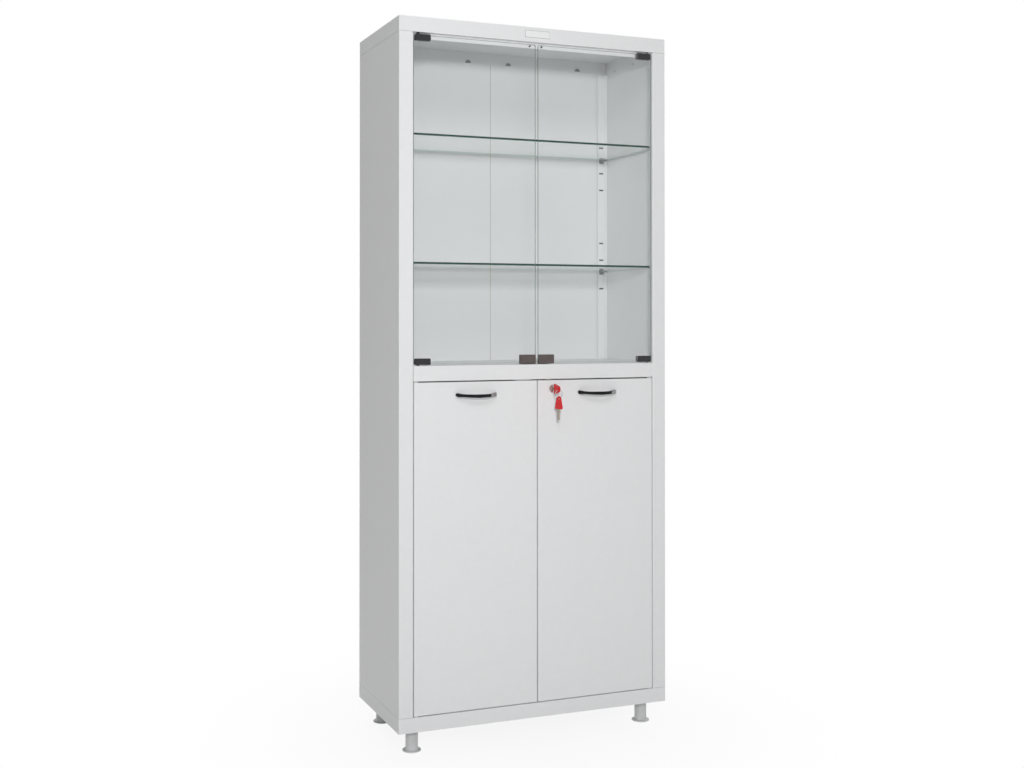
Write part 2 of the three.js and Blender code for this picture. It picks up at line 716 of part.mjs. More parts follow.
// Steel leaves: a pan with folded edges and returns, and a welded stiffener behind the face
const doorOuter = OPEN_HALF - DOOR_SIDE_GAP;
const doorInner = DOOR_SPLIT / 2;
const doorMid = (doorOuter + doorInner) / 2;
function doorPan() {
  const outline = rounded(doorInner, doorOuter, DOOR_SETBACK, DOOR_BACK, BEND_R);
  let pan = push(outline, DOOR_LOW, DOOR_TOP);
  const face = DOOR_SETBACK + SHEET;
  const inside = [doorInner + SHEET, doorOuter - SHEET];
  pan = pan.subtract(block(...inside, face, DOOR_BACK - SHEET, DOOR_LOW + SHEET, DOOR_TOP - SHEET));
  pan = pan.subtract(
    block(
      doorInner + DOOR_RETURN,
      doorOuter - DOOR_RETURN,
      DOOR_BACK - SHEET * 2,
      DOOR_BACK + 1,
      DOOR_LOW + DOOR_RETURN,
      DOOR_TOP - DOOR_RETURN,
    ),
  );
  const hatBack = DOOR_BACK - SHEET * 2;
  const hatPath = [
    [doorMid + STIFFENER_W / 2, face - SHEET / 2],
    [doorMid + STIFFENER_W / 2 - 6, hatBack],
    [doorMid - STIFFENER_W / 2 + 6, hatBack],
    [doorMid - STIFFENER_W / 2, face - SHEET / 2],
  ];
  pan = pan.add(push(folded(hatPath, SHEET, BEND_R), DOOR_LOW + STIFFENER_END, DOOR_TOP - STIFFENER_END));
  for (const z of [DOOR_LOW, DOOR_TOP]) {
    const hole = upright(DOOR_PIN_R + PIN_FIT, z - 3, z + 3, DOOR_PIVOT_X, DOOR_PIVOT_BACK, 16);
    pan = pan.subtract(hole);
  }
  return pan;
}

const lockHole = lying([
  [0, -5],
  [LOCK_BARREL_R + JOINT_GAP, -5],
  [LOCK_BARREL_R + JOINT_GAP, DOOR_BACK + 1],
  [0, DOOR_BACK + 1],
]).translate([LOCK_X, 0, LOCK_Z]);
add("steel_door_left", mirrored(doorPan()), coat);
add("steel_door_right", doorPan().subtract(lockHole), coat);

// Hinge pins of the steel leaves, each with a washer that carries or guides the leaf
function hingePin(low, high) {
  const mid = (low + high) / 2;
  const half = (high - low) / 2 - JOINT_GAP;
  return turned(
    [
      [0, low - DOOR_PIN_L],
      [DOOR_PIN_R - 0.05, low - DOOR_PIN_L],
      [DOOR_PIN_R - 0.05, mid - half],
      [WASHER_R, mid - half],
      [WASHER_R, mid + half],
      [DOOR_PIN_R - 0.05, mid + half],
      [DOOR_PIN_R - 0.05, high + DOOR_PIN_L],
      [0, high + DOOR_PIN_L],
    ],
    16,
  ).translate([DOOR_PIVOT_X, DOOR_PIVOT_BACK, 0]);
}

for (const [side, turn] of [["left", mirrored], ["right", (s) => s]]) {
  add(`steel_hinge_pin_top_${side}`, turn(hingePin(DOOR_TOP, RAIL_LOW)), zinc);
  add(`steel_hinge_pin_bottom_${side}`, turn(hingePin(BASE_RIM, DOOR_LOW)), zinc);
}

// Bow handle: an arched bar with flared feet, waisted between the feet and the middle
function bowHandle() {
  const footIn = HANDLE_HALF - HANDLE_FOOT;
  const lift = HANDLE_REACH - HANDLE_T;
  const plan = new THREE.Shape();
  plan.moveTo(-HANDLE_HALF, 0);
  plan.bezierCurveTo(-HANDLE_HALF, -lift * 0.6, -HANDLE_HALF * 0.62, -HANDLE_REACH, 0, -HANDLE_REACH);
  plan.bezierCurveTo(HANDLE_HALF * 0.62, -HANDLE_REACH, HANDLE_HALF, -lift * 0.6, HANDLE_HALF, 0);
  plan.lineTo(footIn, 0);
  plan.bezierCurveTo(footIn, -lift * 0.62, footIn * 0.6, -lift, 0, -lift);
  plan.bezierCurveTo(-footIn * 0.6, -lift, -footIn, -lift * 0.62, -footIn, 0);
  plan.closePath();
  const arch = push(plan, -HANDLE_FOOT_H, HANDLE_FOOT_H, "z", 8);
  const foot = HANDLE_FOOT_H / 2;
  const neckX = footIn - 2;
  const footX = HANDLE_HALF - foot;
  const heights = [
    [0, HANDLE_MID_H / 2],
    [neckX / 2, (HANDLE_MID_H + HANDLE_NECK_H) / 4],
    [neckX, HANDLE_NECK_H / 2],
    [footX, foot],
  ];
  const edge = (way, up) =>
    heights.map(([x, h]) => new THREE.Vector2(way * x, up * h - HANDLE_SAG * (1 - (x / footX) ** 2)));
  const front = new THREE.Shape();
  front.moveTo(0, -HANDLE_MID_H / 2 - HANDLE_SAG);
  front.splineThru(edge(1, -1).slice(1));
  front.absarc(footX, 0, foot, -Math.PI / 2, Math.PI / 2);
  front.splineThru(edge(1, 1).reverse().slice(1));
  front.splineThru(edge(-1, 1).slice(1));
  front.absarc(-footX, 0, foot, Math.PI / 2, Math.PI * 1.5);
  front.splineThru(edge(-1, -1).reverse().slice(1));
  const outline = push(front, -HANDLE_REACH - 1, 1, "y", 6);
  return arch.intersect(outline).translate([0, DOOR_SETBACK - 0.05, HANDLE_Z]);
}

for (const [side, x] of [["left", -HANDLE_X], ["right", HANDLE_X]]) {
  add(`handle_${side}`, bowHandle().translate([x, 0, 0]), blackMetal);
}

// Cam lock in the right steel leaf: ring, barrel and nut; turning plug; cam on the plug's tail
const stopFace = DOOR_BACK + STOP_FIT;
const camFront = stopFace + KEEPER_T + CAM_CLEAR;
const plugEnd = camFront - 0.05;
const barrelEnd = plugEnd - 0.6;
const lockFace = DOOR_SETBACK - 0.05;
const bore = LOCK_PLUG_R + LOCK_FIT;
let lockBody = lying([
  [bore, lockFace - LOCK_RING_T],
  [LOCK_RING_R - 1.6, lockFace - LOCK_RING_T],
  [LOCK_RING_R, lockFace - LOCK_RING_T + 1.6],
  [LOCK_RING_R, lockFace],
  [LOCK_BARREL_R, lockFace],
  [LOCK_BARREL_R, barrelEnd],
  [bore, barrelEnd],
  [bore, lockFace - LOCK_RING_T],
]);
const nutFront = DOOR_SETBACK + SHEET + 0.1;
const nut = lying([
  [LOCK_BARREL_R - 0.5, nutFront],
  [LOCK_NUT_R, nutFront],
  [LOCK_NUT_R, nutFront + LOCK_NUT_T],
  [LOCK_BARREL_R - 0.5, nutFront + LOCK_NUT_T],
  [LOCK_BARREL_R - 0.5, nutFront],
], 6);
lockBody = lockBody.add(nut).translate([LOCK_X, 0, LOCK_Z]);
add("lock_body", lockBody, chrome);

const plugFront = lockFace - LOCK_RING_T - 0.6;
const keySlot = block(
  -BLADE_T / 2 - GRIP_FIT,
  BLADE_T / 2 + GRIP_FIT,
  plugFront - 1,
  plugFront + BLADE_IN + 1,
  -BLADE_W / 2 - GRIP_FIT,
  BLADE_W / 2 + GRIP_FIT,
);
const plug = lying([
  [0, plugFront],
  [LOCK_PLUG_R - 0.6, plugFront],
  [LOCK_PLUG_R, plugFront + 0.6],
  [LOCK_PLUG_R, plugEnd],
  [0, plugEnd],
]).subtract(keySlot);
add("lock_plug", plug.translate([LOCK_X, 0, LOCK_Z]), chrome);

const camShape = new THREE.Shape();
camShape.absarc(0, 0, CAM_W / 2, -Math.PI / 2, Math.PI / 2);
camShape.lineTo(-CAM_L + 3, CAM_W / 2 - 2);
camShape.absarc(-CAM_L + 3, CAM_W / 2 - 5, 3, Math.PI / 2, Math.PI);
camShape.lineTo(-CAM_L, -CAM_W / 2 + 5);
camShape.absarc(-CAM_L + 3, -CAM_W / 2 + 5, 3, Math.PI, Math.PI * 1.5);
camShape.closePath();
add("lock_cam", push(camShape, camFront, camFront + CAM_T, "y").translate([LOCK_X, 0, LOCK_Z]), zinc);

// Keeper and catch hung under the rail: the leaves close against them
const hangTop = RAIL_LOW - 0.1;
const keeperPath = [
  [DOOR_SETBACK + HANG_SETBACK, hangTop],
  [stopFace + KEEPER_T, hangTop],
  [stopFace + KEEPER_T, hangTop - KEEPER_DROP],
];
const keeperFold = folded(keeperPath.slice().reverse(), KEEPER_T, BEND_R);
const keeperEnds = [KEEPER_X - KEEPER_W / 2, KEEPER_X + KEEPER_W / 2];
add("lock_keeper", push(keeperFold, ...keeperEnds, "x"), zinc);
const catchProfile = polygon([
  [DOOR_SETBACK + HANG_SETBACK, hangTop - STEEL_CATCH_T],
  [stopFace, hangTop - STEEL_CATCH_T],
  [stopFace, hangTop - STEEL_CATCH_H],
  [stopFace + STEEL_CATCH_D, hangTop - STEEL_CATCH_H],
  [stopFace + STEEL_CATCH_D, hangTop],
  [DOOR_SETBACK + HANG_SETBACK, hangTop],
]);
const catchX0 = STEEL_CATCH_X - STEEL_CATCH_W / 2;
add("steel_door_catch", push(catchProfile, catchX0, catchX0 + STEEL_CATCH_W, "x"), palePlastic);

// Keys: drawn with the blade along +Y and the head towards -Y, the hole of the ring near the far end
const headEnd = -KEY_REACH + KEY_HEAD_L;
const holeY = -KEY_REACH + KEY_HOLE_IN;
function keyHead() {
  const wide = KEY_HEAD_W / 2;
  const narrow = KEY_HEAD_END_W / 2;
  const corner = KEY_HEAD_CORNER;
  const s = new THREE.Shape();
  s.moveTo(headEnd, -wide + corner);
  s.lineTo(headEnd, wide - corner);
  s.quadraticCurveTo(headEnd, wide, headEnd - corner, wide);
  s.lineTo(-KEY_REACH + narrow, narrow);
  s.absarc(-KEY_REACH + narrow, 0, narrow, Math.PI / 2, Math.PI * 1.5);
  s.lineTo(headEnd - corner, -wide);
  s.quadraticCurveTo(headEnd, -wide, headEnd, -wide + corner);
  const hole = new THREE.Path();
  hole.absarc(holeY, 0, KEY_HOLE_R, 0, 2 * Math.PI, true);
  s.holes.push(hole);
  const pocket = block(
    -BLADE_T / 2 - GRIP_FIT,
    BLADE_T / 2 + GRIP_FIT,
    headEnd - KEY_TANG,
    headEnd + 1,
    -BLADE_W / 2 - GRIP_FIT,
    BLADE_W / 2 + GRIP_FIT,
  );
  return push(s, -KEY_HEAD_T / 2, KEY_HEAD_T / 2, "x", 6).subtract(pocket);
}

function keyBlade(length) {
  const tip = headEnd + length;
  const r = BLADE_W / 2;
  const notch = length / 7;
  const s = polygon([
    [headEnd - KEY_TANG + GRIP_FIT, -r],
    [tip - notch * 4.5, -r],
    [tip - notch * 4, -r + 1.2],
    [tip - notch * 3.5, -r],
    [tip - notch * 2.5, -r],
    [tip - notch * 2, -r + 1.8],
    [tip - notch * 1.5, -r],
    [tip - notch * 0.8, -r],
    [tip, 0],
    [tip - notch * 0.8, r],
    [headEnd - KEY_TANG + GRIP_FIT, r],
  ]);
  return push(s, -BLADE_T / 2, BLADE_T / 2, "x");
}

const keyPlace = [LOCK_X, 0, LOCK_Z];
add("lock_key_head", keyHead().translate(keyPlace), redPlastic);
add("lock_key_blade", keyBlade(plugFront + BLADE_IN - headEnd).translate(keyPlace), chrome);

// Ring through the hole of the key in the lock, and the spare key hanging from it
const ringTop = LOCK_Z - KEY_HOLE_R + RING_WIRE + RING_FIT;
const ringMid = ringTop - RING_R;
const ringLow = ringMid - RING_R;
const torus = new THREE.TorusGeometry(RING_R, RING_WIRE, 8, 36);
torus.rotateX(Math.PI / 2);
add("key_ring", toSolid(torus).translate([LOCK_X, holeY, ringMid]), chrome);

const spare = new THREE.Group();
const spareHole = ringLow + RING_WIRE + RING_FIT - KEY_HOLE_R;
spare.position.set(LOCK_X, holeY, spareHole);
spare.rotation.set(-Math.PI / 2, 0, 0);
spare.rotation.order = "ZXY";
spare.rotation.z = SPARE_TURN;
carcass.add(spare);
add("spare_key_head", keyHead().translate([0, -holeY, 0]), redPlastic, spare);
add("spare_key_blade", keyBlade(SPARE_BLADE_L).translate([0, -holeY, 0]), chrome, spare);

const cabinet = new THREE.Group();
cabinet.name = "glass_door_medical_cabinet";
cabinet.add(carcass);

export default cabinet;
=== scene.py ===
# %% [markdown]
# # A glass door medical cabinet
# The cabinet is folded from white sheet steel. Two glass leaves close the upper half, and two steel
# leaves with bow handles and a lock close the lower half. The solids come from the CAD frame, so this
# lesson is about what makes them look real: soft edges, finishes, small fasteners and light.

import json
import math

import bmesh
import bpy
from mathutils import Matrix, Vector


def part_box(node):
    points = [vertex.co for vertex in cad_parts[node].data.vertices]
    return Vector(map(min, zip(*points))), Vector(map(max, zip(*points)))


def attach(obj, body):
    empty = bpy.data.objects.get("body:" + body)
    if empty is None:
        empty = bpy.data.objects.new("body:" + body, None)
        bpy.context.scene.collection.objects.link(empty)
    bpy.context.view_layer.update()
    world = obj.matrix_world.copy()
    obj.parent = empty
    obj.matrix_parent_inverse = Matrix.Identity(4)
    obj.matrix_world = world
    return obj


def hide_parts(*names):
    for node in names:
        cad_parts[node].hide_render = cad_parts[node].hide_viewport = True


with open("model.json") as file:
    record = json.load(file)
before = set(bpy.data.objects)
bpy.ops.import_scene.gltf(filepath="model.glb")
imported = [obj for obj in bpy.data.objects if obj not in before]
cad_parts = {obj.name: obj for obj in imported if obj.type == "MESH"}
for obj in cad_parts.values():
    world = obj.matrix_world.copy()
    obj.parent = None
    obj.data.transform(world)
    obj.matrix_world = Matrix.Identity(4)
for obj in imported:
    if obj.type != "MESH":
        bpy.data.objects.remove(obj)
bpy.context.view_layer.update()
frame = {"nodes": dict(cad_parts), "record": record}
nodes = frame["nodes"]
print("pieces in the frame:", len(nodes))

# %% [markdown]
# ## Places taken from the frame
# Every piece that this lesson adds sits on a face of the cabinet. Its place could be typed in, but then
# it would stay behind when the cabinet's size changes. So places are read from the boxes of the CAD
# nodes, and only the small distances from those faces are written here. All lengths are in metres.

# %% Read the faces that other pieces sit on
X, Y, Z = 0, 1, 2
LOW, HIGH = 0, 1
SIDES = (("left", -1), ("right", 1))
SHEET = 0.001


def face_of(node, end, axis):
    """Where one face of a node's box lies."""
    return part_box(node)[end][axis]


front_y = face_of("top_panel", LOW, Y)
back_y = face_of("top_panel", HIGH, Y)
roof_z = face_of("top_panel", HIGH, Z)
half_width = face_of("top_panel", HIGH, X)
print("front face at y =", round(front_y, 4), "roof at z =", round(roof_z, 4))

# %% [markdown]
# ## Building materials from nodes
# No finish on a real cabinet is one flat colour. A picture of each finish could be wrapped around the
# pieces, but every piece would have to be unwrapped first. So each material mixes two close tones with a
# broad noise, lets the roughness wander a little and adds a fine bump. The noise reads Object
# coordinates, which are metres in the frame, so the grain has the same size on every piece.

# %% Helpers for node trees
EVEN = (1.0, 1.0, 1.0)
NOISE_ROUGHNESS = 0.55


def add_node(tree, kind, inputs=None, **settings):
    made = tree.nodes.new(kind)
    for key, value in settings.items():
        setattr(made, key, value)
    for key, value in (inputs or {}).items():
        made.inputs[key].default_value = value
    return made


def noise_on_object(tree, scale, detail, stretch=EVEN):
    """A noise between nought and one that is fixed to the piece."""
    coords = add_node(tree, "ShaderNodeTexCoord")
    mapping = add_node(tree, "ShaderNodeMapping", {"Scale": stretch})
    look = {"Scale": scale, "Detail": detail, "Roughness": NOISE_ROUGHNESS}
    noise = add_node(tree, "ShaderNodeTexNoise", look)
    tree.links.new(coords.outputs["Object"], mapping.inputs["Vector"])
    tree.links.new(mapping.outputs["Vector"], noise.inputs["Vector"])
    return noise.outputs["Fac"]


def two_tones(tree, amount, tones, blend):
    """A colour that wanders between two tones with the amount."""
    ramp = add_node(tree, "ShaderNodeValToRGB")
    ramp.color_ramp.interpolation = blend
    for stop, tone in zip(ramp.color_ramp.elements, tones):
        stop.color = (*tone, 1.0)
    tree.links.new(amount, ramp.inputs["Fac"])
    return ramp.outputs["Color"]


def between(tree, amount, least, most):
    """A number that wanders between two limits with the amount."""
    span = add_node(tree, "ShaderNodeMapRange", {"To Min": least, "To Max": most})
    tree.links.new(amount, span.inputs["Value"])
    return span.outputs["Result"]


# %% One finish from two tones, a roughness range and a bump
BROAD_DETAIL = 4.0
FINE_DETAIL = 2.0
BUMP_DEPTH = 0.0004


def finish(
    name, tones, rough, grain, metal=0.0, gloss=0.5, bump_scale=900.0, bump=0.05, stretch=EVEN
):
    material = bpy.data.materials.new(name)
    material.use_nodes = True
    tree = material.node_tree
    link = tree.links.new
    shader = tree.nodes["Principled BSDF"]
    shader.inputs["Metallic"].default_value = metal
    shader.inputs["Specular IOR Level"].default_value = gloss
    broad = noise_on_object(tree, grain, BROAD_DETAIL, stretch)
    link(two_tones(tree, broad, tones, "EASE"), shader.inputs["Base Color"])
    link(between(tree, broad, *rough), shader.inputs["Roughness"])
    fine = noise_on_object(tree, bump_scale, FINE_DETAIL, stretch)
    relief = add_node(tree, "ShaderNodeBump", {"Strength": bump, "Distance": BUMP_DEPTH})
    link(fine, relief.inputs["Height"])
    link(relief.outputs["Normal"], shader.inputs["Normal"])
    return material


# %% [markdown]
# ## The white coat
# Powder coat is sprayed on dry and melted in an oven, and it is the finish that fills the picture. Its
# skin is faintly rippled like orange peel. The ripple could be modelled, but it is far too fine for a
# mesh, so a coarse and weak bump draws it. The gloss is low, because the coat mirrors the room softly.
# The bare plate on the top rim has a smoother and brighter white.

# %% Make the two whites
white_coat = finish(
    "white_powder_coat", ((0.872, 0.877, 0.886), (0.898, 0.902, 0.908)),
    rough=(0.3, 0.38), gloss=0.15, grain=70.0, bump_scale=520.0,
)
plain_plate = finish(
    "plain_badge_plate", ((0.93, 0.935, 0.94), (0.955, 0.955, 0.958)),
    rough=(0.2, 0.3), grain=140.0, bump_scale=1600.0, bump=0.04,
)
print("whites:", white_coat.name, "and", plain_plate.name)

# %% [markdown]
# ## Dark fittings
# The handles are painted black outside, the hinge clamps are plated nearly black, and the strike clips
# have a brownish plate. One black for all would look flat. Paint is a dark surface under a thin gloss,
# while plating is a dark metal that mirrors the room, so the three differ in tone and in metal.

# %% Make the dark finishes
BRUSHED_LEVEL = (1.0, 1.0, 6.0)
black_coat = finish(
    "black_satin_coat", ((0.006, 0.006, 0.006), (0.013, 0.013, 0.014)),
    rough=(0.38, 0.5), gloss=0.15, grain=90.0, bump_scale=1500.0,
)
dark_plate = finish(
    "dark_satin_plate", ((0.032, 0.032, 0.034), (0.055, 0.055, 0.058)),
    rough=(0.2, 0.32), metal=0.8, grain=90.0, bump_scale=1500.0, stretch=BRUSHED_LEVEL,
)
dark_bronze = finish(
    "dark_bronze_plate", ((0.088, 0.072, 0.068), (0.132, 0.11, 0.103)),
    rough=(0.28, 0.42), metal=0.5, grain=80.0, bump_scale=1400.0, bump=0.06,
)
print("dark finishes:", black_coat.name, dark_plate.name, dark_bronze.name)

# %% [markdown]
# ## Bright fittings
# The lock and the key ring are chromed, and so is the inside of the handles, in a satin tone. Most
# screws, the key blades and the keeper are zinc plated. Chrome gives a tight reflection, while zinc is
# duller and shows brush marks. A second texture could draw those, but squeezing the one noise in two
# directions already reads as brushing along the third.

# %% Make the plated finishes
BRUSHED_ACROSS = (1.0, 8.0, 8.0)
satin_chrome = finish(
    "satin_chrome", ((0.23, 0.235, 0.235), (0.31, 0.315, 0.315)),
    rough=(0.22, 0.34), metal=1.0, grain=120.0, bump_scale=1800.0, bump=0.02,
)
bright_chrome = finish(
    "bright_chrome", ((0.5, 0.49, 0.48), (0.6, 0.59, 0.58)),
    rough=(0.2, 0.3), metal=1.0, grain=120.0, bump_scale=1800.0, bump=0.02,
)
brushed_zinc = finish(
    "brushed_zinc", ((0.36, 0.32, 0.26), (0.52, 0.47, 0.39)),
    rough=(0.3, 0.48), metal=0.9, grain=160.0, bump=0.08, stretch=BRUSHED_ACROSS,
)
bright_zinc = finish(
    "bright_zinc", ((0.62, 0.63, 0.63), (0.72, 0.72, 0.71)),
    rough=(0.35, 0.5), metal=0.35, grain=160.0, bump=0.06, stretch=BRUSHED_ACROSS,
)
print("plated finishes:", satin_chrome.name, bright_chrome.name, brushed_zinc.name, bright_zinc.name)

# %% [markdown]
# ## Darker steels
# The shelf clips, the tabs pressed out of the roof, the line around the bare plate and the plates behind
# the slots take these darker steels. On the clips they are painted shade, for the shade under the
# shelves. On the plate line and the slot plates they are painted shade, for the shade at an edge and in a
# hollow. Full metal would turn black in a small dark recess, because it only mirrors. So these finishes
# are mostly a plain grey with a little metal in it.

# %% Make the darker steels
# Painted shade: the clips are darkened for the shade under the shelves.
shaded_clip_steel = finish(
    "clip_painted_shade", ((0.24, 0.268, 0.255), (0.33, 0.36, 0.342)),
    rough=(0.4, 0.55), metal=0.35, grain=160.0, bump=0.06, stretch=BRUSHED_ACROSS,
)
# A plain grey for the roof tabs, and painted shade for the line around the bare plate.
grey_steel = finish(
    "plain_grey_steel", ((0.22, 0.24, 0.25), (0.3, 0.32, 0.33)),
    rough=(0.4, 0.55), metal=0.2, grain=150.0, bump=0.06,
)
# Painted shade: the dark of the hollow behind each free slot.
slot_shade_steel = finish(
    "painted_slot_shade", ((0.085, 0.1, 0.132), (0.12, 0.138, 0.17)),
    rough=(0.5, 0.65), metal=0.2, grain=120.0, bump=0.08,
)
print("bare steels:", shaded_clip_steel.name, grey_steel.name, slot_shade_steel.name)

# %% [markdown]
# ## Plastic and rubber
# The legs and catches are pale and moulded, the key heads are red, and the buffers of the panes are
# rubber. A moulded skin is even, so these finishes have a fine grain and no brushing. The legs have a
# faint silvery sheen, and a little metal in the pale plastic gives it.

# %% Make the moulded finishes
pale_plastic = finish(
    "pale_plastic", ((0.63, 0.635, 0.64), (0.69, 0.695, 0.7)),
    rough=(0.3, 0.4), metal=0.12, grain=40.0, bump_scale=1300.0,
)
red_plastic = finish(
    "red_plastic", ((0.68, 0.01, 0.016), (0.76, 0.018, 0.024)),
    rough=(0.42, 0.55), grain=120.0, bump_scale=1600.0, bump=0.04,
)
dark_rubber = finish(
    "dark_rubber", ((0.02, 0.02, 0.02), (0.035, 0.035, 0.034)),
    rough=(0.6, 0.75), grain=200.0, bump_scale=2200.0, bump=0.1,
)
print("moulded finishes:", pale_plastic.name, red_plastic.name, dark_rubber.name)

# %% [markdown]
# ## Glass
# A pane only a few millimetres thick hardly bends the light. A glass that refracts would render slowly
# for no gain, so the faces are a clear shader with a thin reflection on top. The reflection grows towards
# a glancing view. Only a face that is met from outside has it, so a sheet mirrors once and not twice.

# %% Make the clear faces
WHITE = (1.0, 1.0, 1.0, 1.0)
GLASS_IOR = 1.5
HAZE_SCALE = 9.0
HAZE_LIFT = 0.012
WIPE_MARKS = (0.01, 0.05)


def outer_reflection(tree):
    """How much a sheet mirrors: more at a glancing view, nothing from within."""
    rim = add_node(tree, "ShaderNodeFresnel", {"IOR": GLASS_IOR})
    facing = add_node(tree, "ShaderNodeNewGeometry")
    outside = add_node(tree, "ShaderNodeMath", {0: 1.0}, operation="SUBTRACT")
    tree.links.new(facing.outputs["Backfacing"], outside.inputs[1])
    amount = add_node(tree, "ShaderNodeMath", operation="MULTIPLY")
    tree.links.new(rim.outputs["Fac"], amount.inputs[0])
    tree.links.new(outside.outputs["Value"], amount.inputs[1])
    return amount.outputs["Value"]


def clear_sheet(name, tint):
    material = bpy.data.materials.new(name)
    material.use_nodes = True
    tree = material.node_tree
    link = tree.links.new
    tree.nodes.remove(tree.nodes["Principled BSDF"])
    haze = noise_on_object(tree, HAZE_SCALE, BROAD_DETAIL)
    clearer = [min(1.0, part + HAZE_LIFT) for part in tint]
    through = add_node(tree, "ShaderNodeBsdfTransparent")
    link(two_tones(tree, haze, (tint, clearer), "LINEAR"), through.inputs["Color"])
    mirror = add_node(tree, "ShaderNodeBsdfGlossy", {"Color": WHITE})
    link(between(tree, haze, *WIPE_MARKS), mirror.inputs["Roughness"])
    mix = add_node(tree, "ShaderNodeMixShader")
    link(outer_reflection(tree), mix.inputs["Fac"])
    link(through.outputs["BSDF"], mix.inputs[1])
    link(mirror.outputs["BSDF"], mix.inputs[2])
    link(mix.outputs["Shader"], tree.nodes["Material Output"].inputs["Surface"])
    return material


pane_glass = clear_sheet("pane_glass", (0.986, 0.991, 0.99))
shelf_glass = clear_sheet("shelf_glass", (0.962, 0.982, 0.973))
print("clear faces:", pane_glass.name, "and", shelf_glass.name)

# %% [markdown]
# ## Cut edges of the glass
# At a cut edge the eye looks along the sheet, and the iron in the glass shows as a deep green. Light
# could be traced through the whole sheet for that, but an edge is only a line in the picture. So the
# edges are opaque finishes: darkest at the front of the shelves, and paler on the panes. The other edges
# of the shelves are a paler copy with painted light, for the light that reaches them through the glass.

# %% Make the edges
pane_edge = finish(
    "pane_edge", ((0.20, 0.27, 0.25), (0.30, 0.38, 0.35)),
    rough=(0.15, 0.3), grain=25.0, bump_scale=700.0,
)
# Painted light: a lit copy of the shelf edge, for edges lit through the glass.
lit_shelf_edge = finish(
    "painted_lit_shelf_edge", ((0.42, 0.52, 0.48), (0.52, 0.62, 0.58)),
    rough=(0.12, 0.25), grain=25.0, bump_scale=700.0,
)
shelf_edge = finish(
    "shelf_edge", ((0.004, 0.042, 0.03), (0.012, 0.078, 0.056)),
    rough=(0.2, 0.32), gloss=0.06, grain=25.0, bump_scale=700.0,
)
print("glass edges:", pane_edge.name, lit_shelf_edge.name, shelf_edge.name)

# %% [markdown]
# ## Soft edges
# No real edge is perfectly sharp, and the thin highlight along an edge tells the eye how thick a sheet
# is. A Bevel modifier alone could not soften the CAD solids, because their meshes are loose triangles. So
# each solid is copied, its triangles are joined into flat faces, and every edge sharper than a bend is
# bevelled. The copy then stands for the CAD node and rides on its body.

# %% Look up the body and the material slot of a node
slot_of = {entry["node"]: entry["material_slot"] for entry in frame["record"]["subparts"]}


def body_of_node(name):
    for body, members in frame["record"]["behaviour"]["bodies"].items():
        if name in members:
            return body
    raise KeyError(name)


print("material slots:", len(set(slot_of.values())))


# %% Turn a finished build into a piece
def piece_from(build, name, materials, body):
    mesh = bpy.data.meshes.new(name)
    build.to_mesh(mesh)
    build.free()
    for material in materials:
        mesh.materials.append(material)
    made = bpy.data.objects.new(name, mesh)
    bpy.context.scene.collection.objects.link(made)
    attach(made, body)
    return made


# %% Copy a solid with softened edges
SAME_POINT = 1e-6
SAME_PLANE = math.radians(0.6)
SHARPER_THAN_A_BEND = math.radians(38)
SHADING_BREAK = math.radians(36)
LARGE_FACE = 0.002
ROUND = 0.5


def soft_copy(name, width, materials, segments=2):
    build = bmesh.new()
    build.from_mesh(nodes[name].data)
    bmesh.ops.remove_doubles(build, verts=build.verts, dist=SAME_POINT)
    bmesh.ops.dissolve_limit(build, angle_limit=SAME_PLANE, verts=build.verts, edges=build.edges)
    hard = [e for e in build.edges if e.is_manifold and e.calc_face_angle() > SHARPER_THAN_A_BEND]
    curve = {"offset": width, "segments": segments, "profile": ROUND, "affect": "EDGES"}
    bmesh.ops.bevel(build, geom=hard, clamp_overlap=True, **curve)
    bmesh.ops.recalc_face_normals(build, faces=build.faces)
    made = piece_from(build, "soft_" + name, materials, body_of_node(name))
    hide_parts(name)
    made.data.shade_smooth()
    made.data.set_sharp_from_angle(angle=SHADING_BREAK)
    for polygon in made.data.polygons:
        polygon.use_smooth = polygon.area < LARGE_FACE
    return made


# %% [markdown]
# ## Dress the carcass and the leaves
# The panels, strips, leaves and the steel shelf are sheet metal under the same coat. Their bevel has to
# stay below half the sheet, or the bevels of its two sides would meet. Large faces are shaded flat, so
# that no bevel bends the light across a whole panel.

# %% Soften the coated sheet metal
SHEET_BEVEL = 0.0003
sheet_nodes = [name for name in nodes if slot_of[name] == "white_coat"]
coated = {name: soft_copy(name, SHEET_BEVEL, [white_coat]) for name in sheet_nodes}
print("coated pieces:", len(coated))

# %% [markdown]
# ## Darker tabs in the roof
# Four half-round tabs are pressed out of the roof near its back, and their faces are given a darker grey. A
# separate piece over each tab would need a fit of its own. Choosing the faces by their place, size and
# direction and giving them a second material needs none.

# %% Give the tabs of the roof a darker grey
TAB_ROOM = 0.03
TAB_SMALLEST = 0.00002
TAB_LARGEST = 0.0002
FACING_FRONT = -0.9


def repaint(piece, material_index, chosen):
    """Give the chosen faces another of the piece's materials, and count them."""
    faces = [polygon for polygon in piece.data.polygons if chosen(polygon)]
    for polygon in faces:
        polygon.material_index = material_index
    return len(faces)


def is_tab(polygon):
    near_back = polygon.center.y > back_y - TAB_ROOM
    tab_sized = TAB_SMALLEST < polygon.area < TAB_LARGEST
    return near_back and tab_sized and polygon.normal.y < FACING_FRONT


roof = coated["top_panel"]
roof.data.materials.append(grey_steel)
print("bare faces on the roof:", repaint(roof, 1, is_tab))
